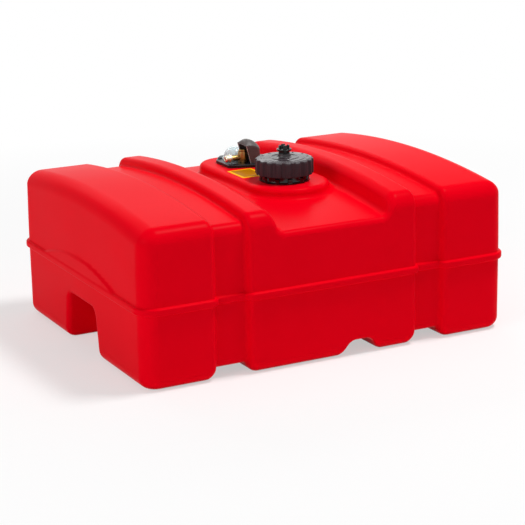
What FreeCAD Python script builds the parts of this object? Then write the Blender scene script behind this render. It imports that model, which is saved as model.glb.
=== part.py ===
import FreeCAD, Part
import math
import os

# Portable outboard fuel tank, about 45 litres: one blow-moulded polyethylene
# shell with a vented filler cap, a sight gauge with a float arm, and a fuel
# outlet with a dip tube.  Millimetres, +Z up, +X along the long side, the
# front long wall faces -Y.  The origin is under the middle of the tank, on
# the surface that it stands on.

V = FreeCAD.Vector

# ---- driving dimensions of the shell -------------------------------------
TANK_LENGTH = 596.0          # end wall to end wall, at the corners
TANK_DEPTH = 464.0           # front wall to back wall
CROWN_TOP = 244.5            # highest line of the arched top
CROWN_RADIUS = 1600.0        # arch of the top, front to back
RIDGE_TOP = 247.5            # highest line of the two ridges
WALL = 4.5                   # moulded wall thickness
CORNER_RADIUS = 26.0         # upright corners in plan
TOP_ROUND = 20.0             # rounding of the top edges
BOTTOM_ROUND = 17.0          # rounding of the bottom edges

PAD_INNER_X = 187.0          # inner side of each end pad
RIDGE_OUTER_X = 138.0        # outer side of each ridge, and of the centre
RIDGE_INNER_X = 92.0         # inner side of each ridge
BLOCK_ROUND = 9.0            # rounding of the pads' edges along the strap channels
RIDGE_ROUND = 17.0           # rounding of the ridges' edges
CENTRE_ROUND = 12.0          # rounding of the middle block's upright edges
END_TOP_ROUND = 26.0         # rounding between the top and the end walls

STRAP_DEPTH_SIDE = 10.0      # strap channels, on the front and back walls
STRAP_DEPTH_TOP = 10.0       # strap channels, over the top
STRAP_DEPTH_BOTTOM = 14.0    # strap channels, under the bottom

FLOOR_TOP = 216.0            # top of the deck between the ridges
FLOOR_RADIUS = 1740.0        # arch of that deck
FLOOR_ROUND = 14.0           # rounding of its front and back edges

# outlines across X: half depth, top, arch radius, bottom, top round, bottom round
PAD_FORM = (TANK_DEPTH / 2, CROWN_TOP, CROWN_RADIUS, 0.0, TOP_ROUND, BOTTOM_ROUND)
RIDGE_FORM = (TANK_DEPTH / 2, RIDGE_TOP, CROWN_RADIUS, 60.0, TOP_ROUND, BOTTOM_ROUND)
CENTRE_FORM = (TANK_DEPTH / 2, FLOOR_TOP, FLOOR_RADIUS, 0.0, FLOOR_ROUND, BOTTOM_ROUND)
CHANNEL_FORM = (TANK_DEPTH / 2 - STRAP_DEPTH_SIDE, CROWN_TOP - STRAP_DEPTH_TOP, CROWN_RADIUS,
                STRAP_DEPTH_BOTTOM, TOP_ROUND - 4, BOTTOM_ROUND - 4)
OUTSIDE_STEPS = 3            # straight steps that make up a round rim, outside
INSIDE_STEPS = 0             # the inside has plain bevels

BEAD_Z = 115.0               # middle of the moulding's parting bead
BEAD_HEIGHT = 12.0
BEAD_PROUD = 5.0
BEAD_SLOPE = 3.2             # its sloped edges

POCKET_TOP = 75.0            # hand pockets in the ends, open below
POCKET_HALF_TOP = 50.0
POCKET_HALF_BOTTOM = 61.0
POCKET_DEPTH = 59.0
POCKET_BEVEL = 8.0           # bevel round its ceiling and back

BROW_RISE = 26.0             # moulded brow above each hand pocket
BROW_HALF = 150.0
BROW_PROUD = 3.5
RUN_INTO = 20.0              # how far added forms run on inside what they join

NOTCH_X = (17.0, 78.0)       # finger recess under the front edge
NOTCH_TOP = 22.0
NOTCH_DEPTH = 110.0
NOTCH_SLOPE = 12.0           # how far its sides lean in at the top
NOTCH_FLARE = 6.0            # and lean out below the bottom

# ---- filler, cap and vent -------------------------------------------------
DECK_Z = 229.0               # flat platform that carries cap and gauge
CAP_X = 22.0
CAP_Y = -46.0
BOSS_RADIUS = 62.0
PLATFORM_BACK_Y = 158.0
PLATFORM_CORNER = 30.0
PLATFORM_BEVEL = 5.4         # bevel round its top edge

NECK_OUTER = 33.0
NECK_BORE = 28.0
NECK_TOP = 256.0
RING_OUTER = 38.4            # black locking ring round the foot of the neck
RING_TOP = 239.2
RING_TOOTH = 1.6             # how far its teeth stand out
RING_TEETH = 12
TOOTH_WIDTH = 5.0
TOOTH_DROP = 1.5             # how far the teeth end below the ring's top
CAP_BOTTOM = 239.6
CAP_TOP = 264.8
CAP_RADIUS = 40.3            # cap between its grip ribs
CAP_RIBS = 18
CAP_RIB_TIP = 44.2
RIB_HALF_WIDTHS = (3.9, 3.3, 1.7)    # at its root, its shoulders and its nose
RIB_TOP_DROP = 0.8           # how far the ribs end below the cap's top
CAP_RING_OUTER = 22.5        # ring-shaped rib on the cap's top
CAP_RING_INNER = 19.0
CAP_RING_RISE = 1.4
CAP_BORE = 34.0
CAP_CEILING = 258.5
GASKET_INNER = 28.6
GASKET_OUTER = 33.4
VENT_BOSS_RADIUS = 9.8
VENT_BOSS_TOP = 269.2
VENT_BORE = 5.0
VENT_STEM = 4.95
VENT_NECK = 8.5
VENT_FLANGE = 11.3
VENT_FLANGE_Z = (274.0, 276.6)
VENT_CROWN = 8.2
VENT_CROWN_BORE = 3.6
VENT_TOP = 282.5
PRONG_GAP = 4.8              # width of the slots between the crown's prongs

# ---- gauge and outlet -----------------------------------------------------
HEAD_HOLE_X = 18.0           # hole in the platform under the gauge plate
HEAD_HOLE_Y = 96.0
HEAD_HOLE_R = 23.0
PLATE_Z = 230.0              # underside of the plate, on its gasket
PLATE_TOP = 234.0
PLATE_OUTLINE = [(-15.0, 65.5), (26.5, 50.0), (68.0, 65.5), (68.0, 113.5),
                 (49.0, 141.0), (4.0, 141.0), (-15.0, 113.5)]
PLATE_CORNER = 6.0
PLATE_BEVEL = 0.8
SCREW_SPOTS = [(-7.5, 69.0), (-5.0, 120.0), (60.5, 69.0), (58.0, 120.0), (26.5, 134.5)]
SCREW_HEAD = 3.4
SCREW_HEAD_HEIGHT = 2.4
SCREW_SHANK_RADIUS = 1.6
GAUGE_X = 15.0               # centre of the sight dome, and plane of the float arm
GAUGE_Y = 110.5
DOME_RADIUS = 16.8
DOME_HEIGHT = 19.5
DOME_WALL = 1.6
DOME_CEILING = 15.5          # its crown is thicker, as a lens
DOME_FLANGE = 18.4
SCALE_RADIUS = 12.0
SCALE_THICKNESS = 0.8
SCALE_BEHIND = 3.2           # how far behind the pointer's plane it stands
PIVOT_Z = 222.0              # pivot of the float arm
PIVOT_PIN = 1.5
PIN_LENGTH = 13.6
EAR_INNER = 4.0              # the bracket's ears, beside the arm's hub
EAR_OUTER = 6.0
EAR_HALF_WIDTH = 4.5
BRIDGE_HEIGHT = 3.0          # strip that joins the ears under the plate
POINTER_LENGTH = 21.5
HUB_RADIUS = 3.4
HUB_WIDTH = 5.6
ARM_WIRE = 1.3
ARM_DROP = 30.0              # short leg of the arm, which clears the deck when full
ARM_SET = 10.0               # how far that leg leans towards the float
FLOAT_REACH = 205.0
FLOAT_RADIUS = 16.0
FLOAT_WIDTH = 36.0
FLOAT_FULL_DROP = 9.5        # arm angle below level when full, degrees
FLOAT_SWING = 53.0           # arm travel from empty to full, degrees
OUTLET_X = 15.0
OUTLET_Y = 79.0
OUTLET_Z = 241.5             # height of the horizontal outlet
ELBOW_FLATS = 13.4           # brass hexagon across its flats
ELBOW_TOP = 251.0
ELBOW_STEM = 5.0             # stem through the plate, and where the dip tube meets it
STEM_FOOT = 227.0
BARREL_RADIUS = 4.6
OUTLET_BORE = 2.2
SEAT_BORE = 2.0
VALVE_BORE = 4.0
VALVE_SEAT_Z = 236.5
POPPET_RADIUS = 3.2
POPPET_HEIGHT = 5.3
SPRING_TOP = 249.6
SPRING_COIL = 2.6
SPRING_WIRE = 0.6
SPRING_TURNS = 3
SPRING_SIDES = 12
PLUG_TIP_X = -16.0
PLUG_RADIUS = 6.3
PLUG_LENGTH = 11.0
PLUG_NECK = 5.2
PLUG_NOSE = 9.0
PLUG_BEVEL = 1.4
TUBE_OUTER = 4.5
TUBE_BORE = 3.0
TUBE_BOTTOM = 9.0
SCREEN_RADIUS = 7.5
SCREEN_LENGTH = 22.0
SCREEN_WINDOW = 3.0          # half width of its windows
HOOD_X = (20.0, 40.0)        # guard over the outlet: foot of its mouth, back
HOOD_LEAN = 8.0              # how far its brow leans out over the outlet
HOOD_Y = (59.0, 91.5)
HOOD_TOP = 271.0
HOOD_WALL = 2.5
HOOD_BEVEL = 7.0             # sloped back edge of its roof
LABEL_X = (-28.0, 14.0)
LABEL_Y = (-6.0, 49.0)
LABEL_THICKNESS = 0.4


# ---- small helpers ---------------------------------------------------------
def cylinder(radius, x, y, z0, z1):
    return Part.makeCylinder(radius, z1 - z0, V(x, y, z0))


def tube(outer, inner, x, y, z0, z1):
    return cylinder(outer, x, y, z0, z1).cut(cylinder(inner, x, y, z0 - 1, z1 + 1))


def box(x0, x1, y0, y1, z0, z1):
    return Part.makeBox(x1 - x0, y1 - y0, z1 - z0, V(x0, y0, z0))


def edges_where(shape, test):
    return [edge for edge in shape.Edges if test(edge.BoundBox)]


def rounded(shape, radius, test):
    edges = edges_where(shape, test)
    return shape.makeFillet(radius, edges)


def mirror_x(shape):
    return shape.mirror(V(0, 0, 0), V(1, 0, 0))


# ---- the shell ---------------------------------------------------------------
def outline(x, form, side_in, top_in, low_in, round_corners):
    """The tank's outline across X: flat walls and bottom, arched top, four corners, round or bevelled.

    form is (half depth, top, arch radius, bottom, top round, bottom round).
    The three insets draw in the walls, the top and the bottom."""
    half_depth, top, arch_radius, bottom, top_round, low_round = form
    half = half_depth - side_in
    arch = arch_radius - top_in
    centre_z = top - arch_radius
    low = bottom + low_in
    round_up = max(top_round - max(side_in, top_in), 1.0)
    round_low = max(low_round - max(side_in, low_in), 1.0)
    fillet_y = half - round_up
    fillet_z = centre_z + math.sqrt((arch - round_up) ** 2 - fillet_y ** 2)
    lean = math.asin(fillet_y / (arch - round_up))
    touch = V(x, arch * math.sin(lean), centre_z + arch * math.cos(lean))
    middle = math.radians(45) + lean / 2
    middle_up = V(x, fillet_y + round_up * math.sin(middle), fillet_z + round_up * math.cos(middle))
    slant = round_low * math.sqrt(0.5)
    middle_low = V(x, half - round_low + slant, low + round_low - slant)
    foot = V(x, half - round_low, low)
    wall_low = V(x, half, low + round_low)
    wall_up = V(x, half, fillet_z)

    def left(point):
        return V(point.x, -point.y, point.z)

    def corner(start, middle, end):
        if round_corners:
            return Part.Arc(start, middle, end).toShape()
        return Part.makeLine(start, end)

    return Part.Wire([
        Part.makeLine(left(foot), foot),
        corner(foot, middle_low, wall_low),
        Part.makeLine(wall_low, wall_up),
        corner(wall_up, middle_up, touch),
        Part.Arc(touch, V(x, 0, centre_z + arch), left(touch)).toShape(),
        corner(left(touch), left(middle_up), left(wall_up)),
        Part.makeLine(left(wall_up), left(wall_low)),
        corner(left(wall_low), left(middle_low), left(foot)),
    ])


def quarter(radius, steps):
    """A quarter round in straight steps: how far in from the face, and how far the outline draws in.

    With no steps the edge stays sharp."""
    if steps < 1:
        return [(0.0, 0.0)]
    turns = [math.pi / 2 * step / steps for step in range(steps + 1)]
    return [(radius * (1 - math.cos(turn)), radius * (1 - math.sin(turn))) for turn in turns]


def draw_in(radius, along):
    """How far a surface draws in at a distance from the face, when its edge has this radius."""
    if along >= radius:
        return 0.0
    return radius - math.sqrt(radius ** 2 - (radius - along) ** 2)


def slab(x0, x1, form, rim, steps):
    """A length of the tank between two x planes with round rims: a stack of outlines, joined straight."""
    places = [(x0 + along, inset) for along, inset in quarter(rim, steps)]
    places += [(x1 - along, inset) for along, inset in reversed(quarter(rim, steps))]
    wires = [outline(x, form, inset, inset, inset, steps > 0) for x, inset in places]
    return Part.makeLoft(wires, True, True)


def grown_in(form, inset):
    """The same outline drawn in by a wall thickness."""
    half_depth, top, arch_radius, bottom, top_round, low_round = form
    return (half_depth - inset, top - inset, arch_radius - inset, bottom + inset,
            top_round - inset, low_round - inset)


def end_pad(inset, steps):
    """The left end of the tank, from its end wall to the strap channel."""
    end_x = -TANK_LENGTH / 2 + inset
    inner_x = -PAD_INNER_X - inset
    form = grown_in(PAD_FORM, inset)
    corner = CORNER_RADIUS - inset
    top_edge = END_TOP_ROUND - inset
    low_edge = BOTTOM_ROUND - inset
    places = []
    for along, side_in in quarter(corner, max(steps, 2)):
        places.append((end_x + along, side_in, draw_in(top_edge, along), draw_in(low_edge, along)))
    for along, rim_in in reversed(quarter(BLOCK_ROUND - inset, max(steps - 1, 1))):
        places.append((inner_x - along, rim_in, rim_in, rim_in))
    wires = [outline(x, form, side_in, top_in, low_in, steps > 0) for x, side_in, top_in, low_in in places]
    return Part.makeLoft(wires, True, True)


def platform(inset):
    """The raised deck: a round boss under the cap, running back as a flat bed for the gauge."""
    radius = BOSS_RADIUS - inset
    top = DECK_Z - inset
    back = PLATFORM_BACK_Y - inset
    corner = PLATFORM_CORNER - inset
    left = CAP_X - radius
    right = CAP_X + radius
    z = FLOOR_TOP - RUN_INTO
    diagonal = corner * (1 - math.sqrt(0.5))
    wire = Part.Wire([
        Part.Arc(V(left, CAP_Y, z), V(CAP_X, CAP_Y - radius, z), V(right, CAP_Y, z)).toShape(),
        Part.makeLine(V(right, CAP_Y, z), V(right, back - corner, z)),
        Part.Arc(V(right, back - corner, z), V(right - diagonal, back - diagonal, z),
                 V(right - corner, back, z)).toShape(),
        Part.makeLine(V(right - corner, back, z), V(left + corner, back, z)),
        Part.Arc(V(left + corner, back, z), V(left + diagonal, back - diagonal, z),
                 V(left, back - corner, z)).toShape(),
        Part.makeLine(V(left, back - corner, z), V(left, CAP_Y, z)),
    ])
    deck = Part.Face(wire).extrude(V(0, 0, top - z))
    return deck.makeChamfer(PLATFORM_BEVEL, edges_where(deck, lambda b: b.ZMin > top - 0.1))


def hand_pocket(grow):
    """The space of one hand pocket in the left end, grown by a wall thickness for the inside."""
    x0 = -TANK_LENGTH / 2 - 30
    x1 = -TANK_LENGTH / 2 + POCKET_DEPTH + grow
    low = -20.0
    top = POCKET_TOP + grow
    half_top = POCKET_HALF_TOP + grow
    half_low = POCKET_HALF_BOTTOM + grow
    face = Part.Face(Part.makePolygon([
        V(x0, -half_low, low), V(x0, half_low, low), V(x0, half_top, top),
        V(x0, -half_top, top), V(x0, -half_low, low),
    ]))
    space = face.extrude(V(x1 - x0, 0, 0))
    return space.makeChamfer(POCKET_BEVEL, edges_where(space, lambda b: b.ZMax > 0 and b.XMax > x0 + 1))


def finger_notch(grow):
    """The recess under the front edge, right of the middle."""
    x0 = NOTCH_X[0] - grow
    x1 = NOTCH_X[1] + grow
    top = NOTCH_TOP + grow
    y0 = -TANK_DEPTH / 2 - 20
    y1 = -TANK_DEPTH / 2 + NOTCH_DEPTH + grow
    face = Part.Face(Part.makePolygon([
        V(x0 - NOTCH_FLARE, y0, -10), V(x1 + NOTCH_FLARE, y0, -10), V(x1 - NOTCH_SLOPE, y0, top),
        V(x0 + NOTCH_SLOPE, y0, top), V(x0 - NOTCH_FLARE, y0, -10),
    ]))
    return face.extrude(V(0, y1 - y0, 0))


def shell_form(inset, steps):
    """The tank's form without bead, brow and neck; inset 0 is the outside, WALL the inside."""
    pad = end_pad(inset, steps)
    across = outline(-PAD_INNER_X - 20, grown_in(CHANNEL_FORM, inset), 0, 0, 0, steps > 0)
    channel = Part.Face(across).extrude(V(PAD_INNER_X - RIDGE_OUTER_X + 40, 0, 0))
    rim_steps = max(steps - 1, 1)
    ridge_form = grown_in(RIDGE_FORM, inset)
    ridge = slab(-RIDGE_OUTER_X + inset, -RIDGE_INNER_X - inset, ridge_form, RIDGE_ROUND - inset, rim_steps)
    centre_form = grown_in(CENTRE_FORM, inset)
    centre = slab(-RIDGE_OUTER_X + inset, RIDGE_OUTER_X - inset, centre_form, CENTRE_ROUND - inset, rim_steps)
    left = [pad, channel, ridge]
    right = [mirror_x(piece) for piece in left]
    form = centre.fuse(left + right + [platform(inset)])
    pocket = hand_pocket(inset)
    return form.cut([pocket, mirror_x(pocket), finger_notch(inset)]).removeSplitter()


def bead_block(x0, x1, half_depth, round0, round1):
    """The bead round one block of the tank: a flat slice with round corners and sloped edges."""
    low = BEAD_Z - BEAD_HEIGHT / 2
    y = half_depth + BEAD_PROUD
    block = box(x0 - BEAD_PROUD, x1 + BEAD_PROUD, -y, y, low, low + BEAD_HEIGHT)
    block = rounded(block, round0, lambda b: b.ZLength > 1 and b.XMax < x0)
    block = rounded(block, round1, lambda b: b.ZLength > 1 and b.XMin > x1)
    return block.makeChamfer(BEAD_SLOPE, edges_where(block, lambda b: b.ZLength < 0.1))


def parting_bead():
    """The bead all round at the moulding's parting line, following the strap channels."""
    half = TANK_DEPTH / 2
    corner = CORNER_RADIUS + BEAD_PROUD
    inner = BLOCK_ROUND + BEAD_PROUD
    pad = bead_block(-TANK_LENGTH / 2, -PAD_INNER_X, half, corner, inner)
    channels = bead_block(-PAD_INNER_X - 20, PAD_INNER_X + 20, half - STRAP_DEPTH_SIDE, inner, inner)
    centre = bead_block(-RIDGE_OUTER_X, RIDGE_OUTER_X, half, inner, inner)
    return [pad, mirror_x(pad), channels, centre]


def pocket_brow():
    """The shallow arched brow on the end wall, rising from the bead over the hand pocket."""
    x0 = -TANK_LENGTH / 2 + RUN_INTO
    x1 = -TANK_LENGTH / 2 - BROW_PROUD
    z = BEAD_Z
    arc = Part.Arc(V(x0, -BROW_HALF, z), V(x0, 0, z + BROW_RISE), V(x0, BROW_HALF, z)).toShape()
    chord = Part.makeLine(V(x0, BROW_HALF, z), V(x0, -BROW_HALF, z))
    return Part.Face(Part.Wire([arc, chord])).extrude(V(x1 - x0, 0, 0))


def tank_body():
    outside = shell_form(0.0, OUTSIDE_STEPS)
    brow = pocket_brow()
    neck = cylinder(NECK_OUTER, CAP_X, CAP_Y, DECK_Z - 10, NECK_TOP)
    body = outside.fuse(parting_bead() + [brow, mirror_x(brow), neck])
    bore = cylinder(NECK_BORE, CAP_X, CAP_Y, DECK_Z - 30, NECK_TOP + 1)
    head_hole = cylinder(HEAD_HOLE_R, HEAD_HOLE_X, HEAD_HOLE_Y, DECK_Z - 20, DECK_Z + 1)
    pilots = [cylinder(SCREW_SHANK_RADIUS, x, y, DECK_Z - 20, DECK_Z + 1) for x, y in SCREW_SPOTS]
    return body.cut([shell_form(WALL, INSIDE_STEPS), bore, head_hole] + pilots)


def around_cap(shape, count):
    """Copies of a shape spaced evenly round the cap's axis."""
    copies = []
    for index in range(count):
        copy = shape.copy()
        copy.rotate(V(CAP_X, CAP_Y, 0), V(0, 0, 1), 360.0 / count * index)
        copies.append(copy)
    return copies


def neck_ring():
    """Black ring round the neck's foot, with teeth that the cap's skirt rides over."""
    ring = tube(RING_OUTER - RING_TOOTH, NECK_OUTER, CAP_X, CAP_Y, DECK_Z, RING_TOP)
    half = TOOTH_WIDTH / 2
    tooth = box(CAP_X + NECK_OUTER + 1, CAP_X + RING_OUTER, CAP_Y - half, CAP_Y + half,
                DECK_Z, RING_TOP - TOOTH_DROP)
    return ring.fuse(around_cap(tooth, RING_TEETH))


def cap_rib():
    """One grip rib of the cap: a tapered bar with a blunt nose."""
    half_widths = list(zip((CAP_RADIUS - 1.2, CAP_RIB_TIP - 1.5, CAP_RIB_TIP), RIB_HALF_WIDTHS))
    low_side = [V(CAP_X + radius, CAP_Y - half, CAP_BOTTOM) for radius, half in half_widths]
    high_side = [V(CAP_X + radius, CAP_Y + half, CAP_BOTTOM) for radius, half in reversed(half_widths)]
    corners = low_side + high_side
    height = CAP_TOP - CAP_RING_RISE - RIB_TOP_DROP - CAP_BOTTOM
    return Part.Face(Part.makePolygon(corners + [corners[0]])).extrude(V(0, 0, height))


def cap_shell():
    """Filler cap: ribbed skirt, ring-shaped rib on its top, and a boss for the vent screw."""
    body = cylinder(CAP_RADIUS, CAP_X, CAP_Y, CAP_BOTTOM, CAP_TOP - CAP_RING_RISE)
    ring = tube(CAP_RING_OUTER, CAP_RING_INNER, CAP_X, CAP_Y, CAP_TOP - 3, CAP_TOP)
    boss = cylinder(VENT_BOSS_RADIUS, CAP_X, CAP_Y, CAP_TOP - 3, VENT_BOSS_TOP)
    bore = cylinder(CAP_BORE, CAP_X, CAP_Y, CAP_BOTTOM - 1, CAP_CEILING)
    vent = cylinder(VENT_BORE, CAP_X, CAP_Y, CAP_CEILING - 1, VENT_BOSS_TOP + 1)
    return body.fuse(around_cap(cap_rib(), CAP_RIBS) + [ring, boss]).cut([bore, vent])


def cap_gasket():
    return tube(GASKET_OUTER, GASKET_INNER, CAP_X, CAP_Y, NECK_TOP + 0.05, CAP_CEILING - 0.05)


def vent_seal():
    return tube(VENT_NECK, VENT_STEM + 0.4, CAP_X, CAP_Y, VENT_BOSS_TOP + 0.05, VENT_BOSS_TOP + 1.2)


def vent_knob():
    """Vent screw: plain stem, finger flange, and a crown of four prongs to turn it by."""
    flange_low, flange_high = VENT_FLANGE_Z
    stem = cylinder(VENT_STEM, CAP_X, CAP_Y, CAP_CEILING - 1.0, VENT_BOSS_TOP + 2)
    neck = cylinder(VENT_NECK, CAP_X, CAP_Y, VENT_BOSS_TOP + 1.25, flange_low)
    flange = cylinder(VENT_FLANGE, CAP_X, CAP_Y, flange_low, flange_high)
    crown = tube(VENT_CROWN, VENT_CROWN_BORE, CAP_X, CAP_Y, flange_high - 0.5, VENT_TOP)
    half = PRONG_GAP / 2
    slot_x = box(CAP_X - 12, CAP_X + 12, CAP_Y - half, CAP_Y + half, flange_high + 1.2, VENT_TOP + 1)
    slot_y = box(CAP_X - half, CAP_X + half, CAP_Y - 12, CAP_Y + 12, flange_high + 1.2, VENT_TOP + 1)
    return stem.fuse([neck, flange, crown.cut([slot_x, slot_y])])


def plate_outline(grow):
    """The gauge plate's outline as a face at its underside, grown outwards."""
    points = [V(x, y, PLATE_Z) for x, y in PLATE_OUTLINE]
    face = Part.Face(Part.makePolygon(points + [points[0]]))
    return face.makeOffset2D(-PLATE_CORNER).makeOffset2D(PLATE_CORNER + grow)


def screw_holes(radius):
    return [cylinder(radius, x, y, DECK_Z - 20, PLATE_TOP + 10) for x, y in SCREW_SPOTS]


def pointer_slot():
    return box(GAUGE_X - 9.5, GAUGE_X + 9.5, GAUGE_Y - 3, GAUGE_Y + 2.4, DECK_Z - 5, PLATE_TOP + 1)


def gauge_plate():
    """Black plate that closes the hole and carries gauge, outlet and guard."""
    plate = plate_outline(0).extrude(V(0, 0, PLATE_TOP - PLATE_Z))
    plate = plate.makeChamfer(PLATE_BEVEL, edges_where(plate, lambda b: b.ZMin > PLATE_TOP - 0.1))
    stem = cylinder(ELBOW_STEM, OUTLET_X, OUTLET_Y, DECK_Z - 5, PLATE_TOP + 1)
    return plate.cut([stem, pointer_slot()] + screw_holes(SCREW_SHANK_RADIUS))


def plate_gasket():
    """Cork-rubber sheet between plate and tank, a little smaller than the plate."""
    sheet = plate_outline(-0.8).extrude(V(0, 0, PLATE_Z - DECK_Z))
    sheet.translate(V(0, 0, DECK_Z - PLATE_Z))
    hole = cylinder(HEAD_HOLE_R, HEAD_HOLE_X, HEAD_HOLE_Y, DECK_Z - 5, PLATE_Z + 1)
    return sheet.cut([hole] + screw_holes(SCREW_SHANK_RADIUS))


def plate_screw(x, y):
    shank = cylinder(SCREW_SHANK_RADIUS, x, y, DECK_Z - 10, PLATE_TOP)
    head = cylinder(SCREW_HEAD, x, y, PLATE_TOP, PLATE_TOP + SCREW_HEAD_HEIGHT)
    return shank.fuse(head)


def plate_screws():
    return Part.makeCompound([plate_screw(x, y) for x, y in SCREW_SPOTS])


def sight_dome():
    """Clear dome over the pointer, turned from its side view, with the flange that seats on the plate."""
    turns = [math.radians(30 * step) for step in range(1, 4)]
    outer = [(DOME_RADIUS * math.cos(turn), DOME_HEIGHT * math.sin(turn)) for turn in turns]
    flange = [(DOME_FLANGE, 0.0), (DOME_FLANGE, DOME_WALL), (DOME_RADIUS, DOME_WALL)]
    hollow = [(0.0, DOME_CEILING), (DOME_RADIUS * 0.6, DOME_CEILING), (DOME_RADIUS - DOME_WALL, 0.0)]
    corners = [V(GAUGE_X + out, GAUGE_Y, PLATE_TOP + up) for out, up in flange + outer + hollow]
    side = Part.Face(Part.makePolygon(corners + [corners[0]]))
    return side.revolve(V(GAUGE_X, GAUGE_Y, 0), V(0, 0, 1), 360)


def gauge_scale():
    """White scale card that stands behind the pointer, inside the dome."""
    y = GAUGE_Y + SCALE_BEHIND
    disc = Part.makeCylinder(SCALE_RADIUS, SCALE_THICKNESS, V(GAUGE_X, y, PLATE_TOP), V(0, 1, 0))
    below = box(GAUGE_X - 20, GAUGE_X + 20, y - 1, y + 2, PLATE_TOP - 20, PLATE_TOP)
    return disc.cut(below)


def float_bracket():
    """Bracket under the plate: two ears that hold the float arm's pivot pin."""
    left = GAUGE_X - EAR_HALF_WIDTH
    right = GAUGE_X + EAR_HALF_WIDTH
    low = PIVOT_Z - EAR_HALF_WIDTH
    bridge = box(GAUGE_X - EAR_OUTER, GAUGE_X + EAR_OUTER, GAUGE_Y - EAR_OUTER, GAUGE_Y + EAR_OUTER,
                 PLATE_Z - BRIDGE_HEIGHT, PLATE_Z)
    near = box(left, right, GAUGE_Y - EAR_OUTER, GAUGE_Y - EAR_INNER, low, PLATE_Z)
    far = box(left, right, GAUGE_Y + EAR_INNER, GAUGE_Y + EAR_OUTER, low, PLATE_Z)
    pin = Part.makeCylinder(PIVOT_PIN, 14, V(GAUGE_X, GAUGE_Y - 7, PIVOT_Z), V(0, 1, 0))
    window = box(GAUGE_X - 5.4, GAUGE_X + 5.4, GAUGE_Y - 3, GAUGE_Y + 3, PLATE_Z - 5, PLATE_Z + 1)
    return bridge.fuse([near, far]).cut([pin, window])


def pivot_pin():
    return Part.makeCylinder(PIVOT_PIN, PIN_LENGTH, V(GAUGE_X, GAUGE_Y - PIN_LENGTH / 2, PIVOT_Z), V(0, 1, 0))


def swung(x, z, degrees):
    """A point given beside the pivot, turned about the pivot's +Y axis."""
    angle = math.radians(degrees)
    turned_x = x * math.cos(angle) + z * math.sin(angle)
    turned_z = -x * math.sin(angle) + z * math.cos(angle)
    return V(GAUGE_X + turned_x, GAUGE_Y, PIVOT_Z + turned_z)


def arm_points():
    """Pivot, elbow of the short leg, and float centre, with the tank empty."""
    drop = math.radians(FLOAT_FULL_DROP)
    full_x = -FLOAT_REACH * math.cos(drop)
    full_z = -FLOAT_REACH * math.sin(drop)
    return swung(0, 0, 0), swung(-ARM_SET, -ARM_DROP, -FLOAT_SWING), swung(full_x, full_z, -FLOAT_SWING)


def rod(start, end, radius):
    return Part.makeCylinder(radius, (end - start).Length, start, end - start)


def float_arm():
    """Bent wire arm with its hub on the pivot pin."""
    pivot, bend, end = arm_points()
    hub = Part.makeCylinder(HUB_RADIUS, HUB_WIDTH, pivot - V(0, HUB_WIDTH / 2, 0), V(0, 1, 0))
    upper = rod(pivot, bend, ARM_WIRE)
    knee = Part.makeCylinder(ARM_WIRE, 2 * ARM_WIRE, bend - V(0, ARM_WIRE, 0), V(0, 1, 0))
    lower = rod(bend, end, ARM_WIRE)
    bore = Part.makeCylinder(PIVOT_PIN + 0.05, 20, pivot - V(0, 10, 0), V(0, 1, 0))
    return hub.fuse([upper, knee, lower]).cut(bore)


def arm_float():
    """Closed-cell float, a drum across the arm."""
    pivot, bend, end = arm_points()
    drum = Part.makeCylinder(FLOAT_RADIUS, FLOAT_WIDTH, end - V(0, FLOAT_WIDTH / 2, 0), V(0, 1, 0))
    return drum.cut(rod(bend, end, ARM_WIRE))


def pointer():
    """Pointer above the pivot: it leans left when empty and right when full."""
    lean = -FLOAT_SWING / 2
    low = PIVOT_Z + HUB_RADIUS - 0.2
    tip = PIVOT_Z + POINTER_LENGTH
    blade = Part.Face(Part.makePolygon([
        V(GAUGE_X - 1.4, GAUGE_Y - 1.0, low), V(GAUGE_X + 1.4, GAUGE_Y - 1.0, low),
        V(GAUGE_X + 1.0, GAUGE_Y - 1.0, tip - 6), V(GAUGE_X + 2.4, GAUGE_Y - 1.0, tip - 6),
        V(GAUGE_X, GAUGE_Y - 1.0, tip), V(GAUGE_X - 2.4, GAUGE_Y - 1.0, tip - 6),
        V(GAUGE_X - 1.0, GAUGE_Y - 1.0, tip - 6), V(GAUGE_X - 1.4, GAUGE_Y - 1.0, low),
    ]))
    shape = blade.extrude(V(0, 2.0, 0))
    shape.rotate(V(GAUGE_X, GAUGE_Y, PIVOT_Z), V(0, 1, 0), lean)
    hub = Part.makeCylinder(HUB_RADIUS, HUB_WIDTH, V(GAUGE_X, GAUGE_Y - HUB_WIDTH / 2, PIVOT_Z), V(0, 1, 0))
    return shape.cut(hub)


def hexagon(across_flats, x, y, z0, z1):
    radius = across_flats / math.sqrt(3)
    points = []
    for corner in range(7):
        angle = math.radians(60 * corner + 30)
        points.append(V(x + radius * math.cos(angle), y + radius * math.sin(angle), z0))
    return Part.Face(Part.makePolygon(points)).extrude(V(0, 0, z1 - z0))


def level_rod(radius, x0, x1):
    return Part.makeCylinder(radius, x1 - x0, V(x0, OUTLET_Y, OUTLET_Z), V(1, 0, 0))


def outlet_elbow():
    """Brass elbow: hexagon body with the anti-siphon valve's bore, and a level barrel."""
    body = hexagon(ELBOW_FLATS, OUTLET_X, OUTLET_Y, PLATE_TOP, ELBOW_TOP)
    stem = cylinder(ELBOW_STEM, OUTLET_X, OUTLET_Y, STEM_FOOT, PLATE_TOP)
    barrel = level_rod(BARREL_RADIUS, PLUG_TIP_X + PLUG_LENGTH, OUTLET_X)
    passage = cylinder(SEAT_BORE, OUTLET_X, OUTLET_Y, STEM_FOOT - 1, VALVE_SEAT_Z + 1)
    chamber = cylinder(VALVE_BORE, OUTLET_X, OUTLET_Y, VALVE_SEAT_Z, ELBOW_TOP + 1)
    outlet = level_rod(OUTLET_BORE, PLUG_TIP_X, OUTLET_X)
    return body.fuse([stem, barrel]).cut([passage, chamber, outlet])


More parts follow.
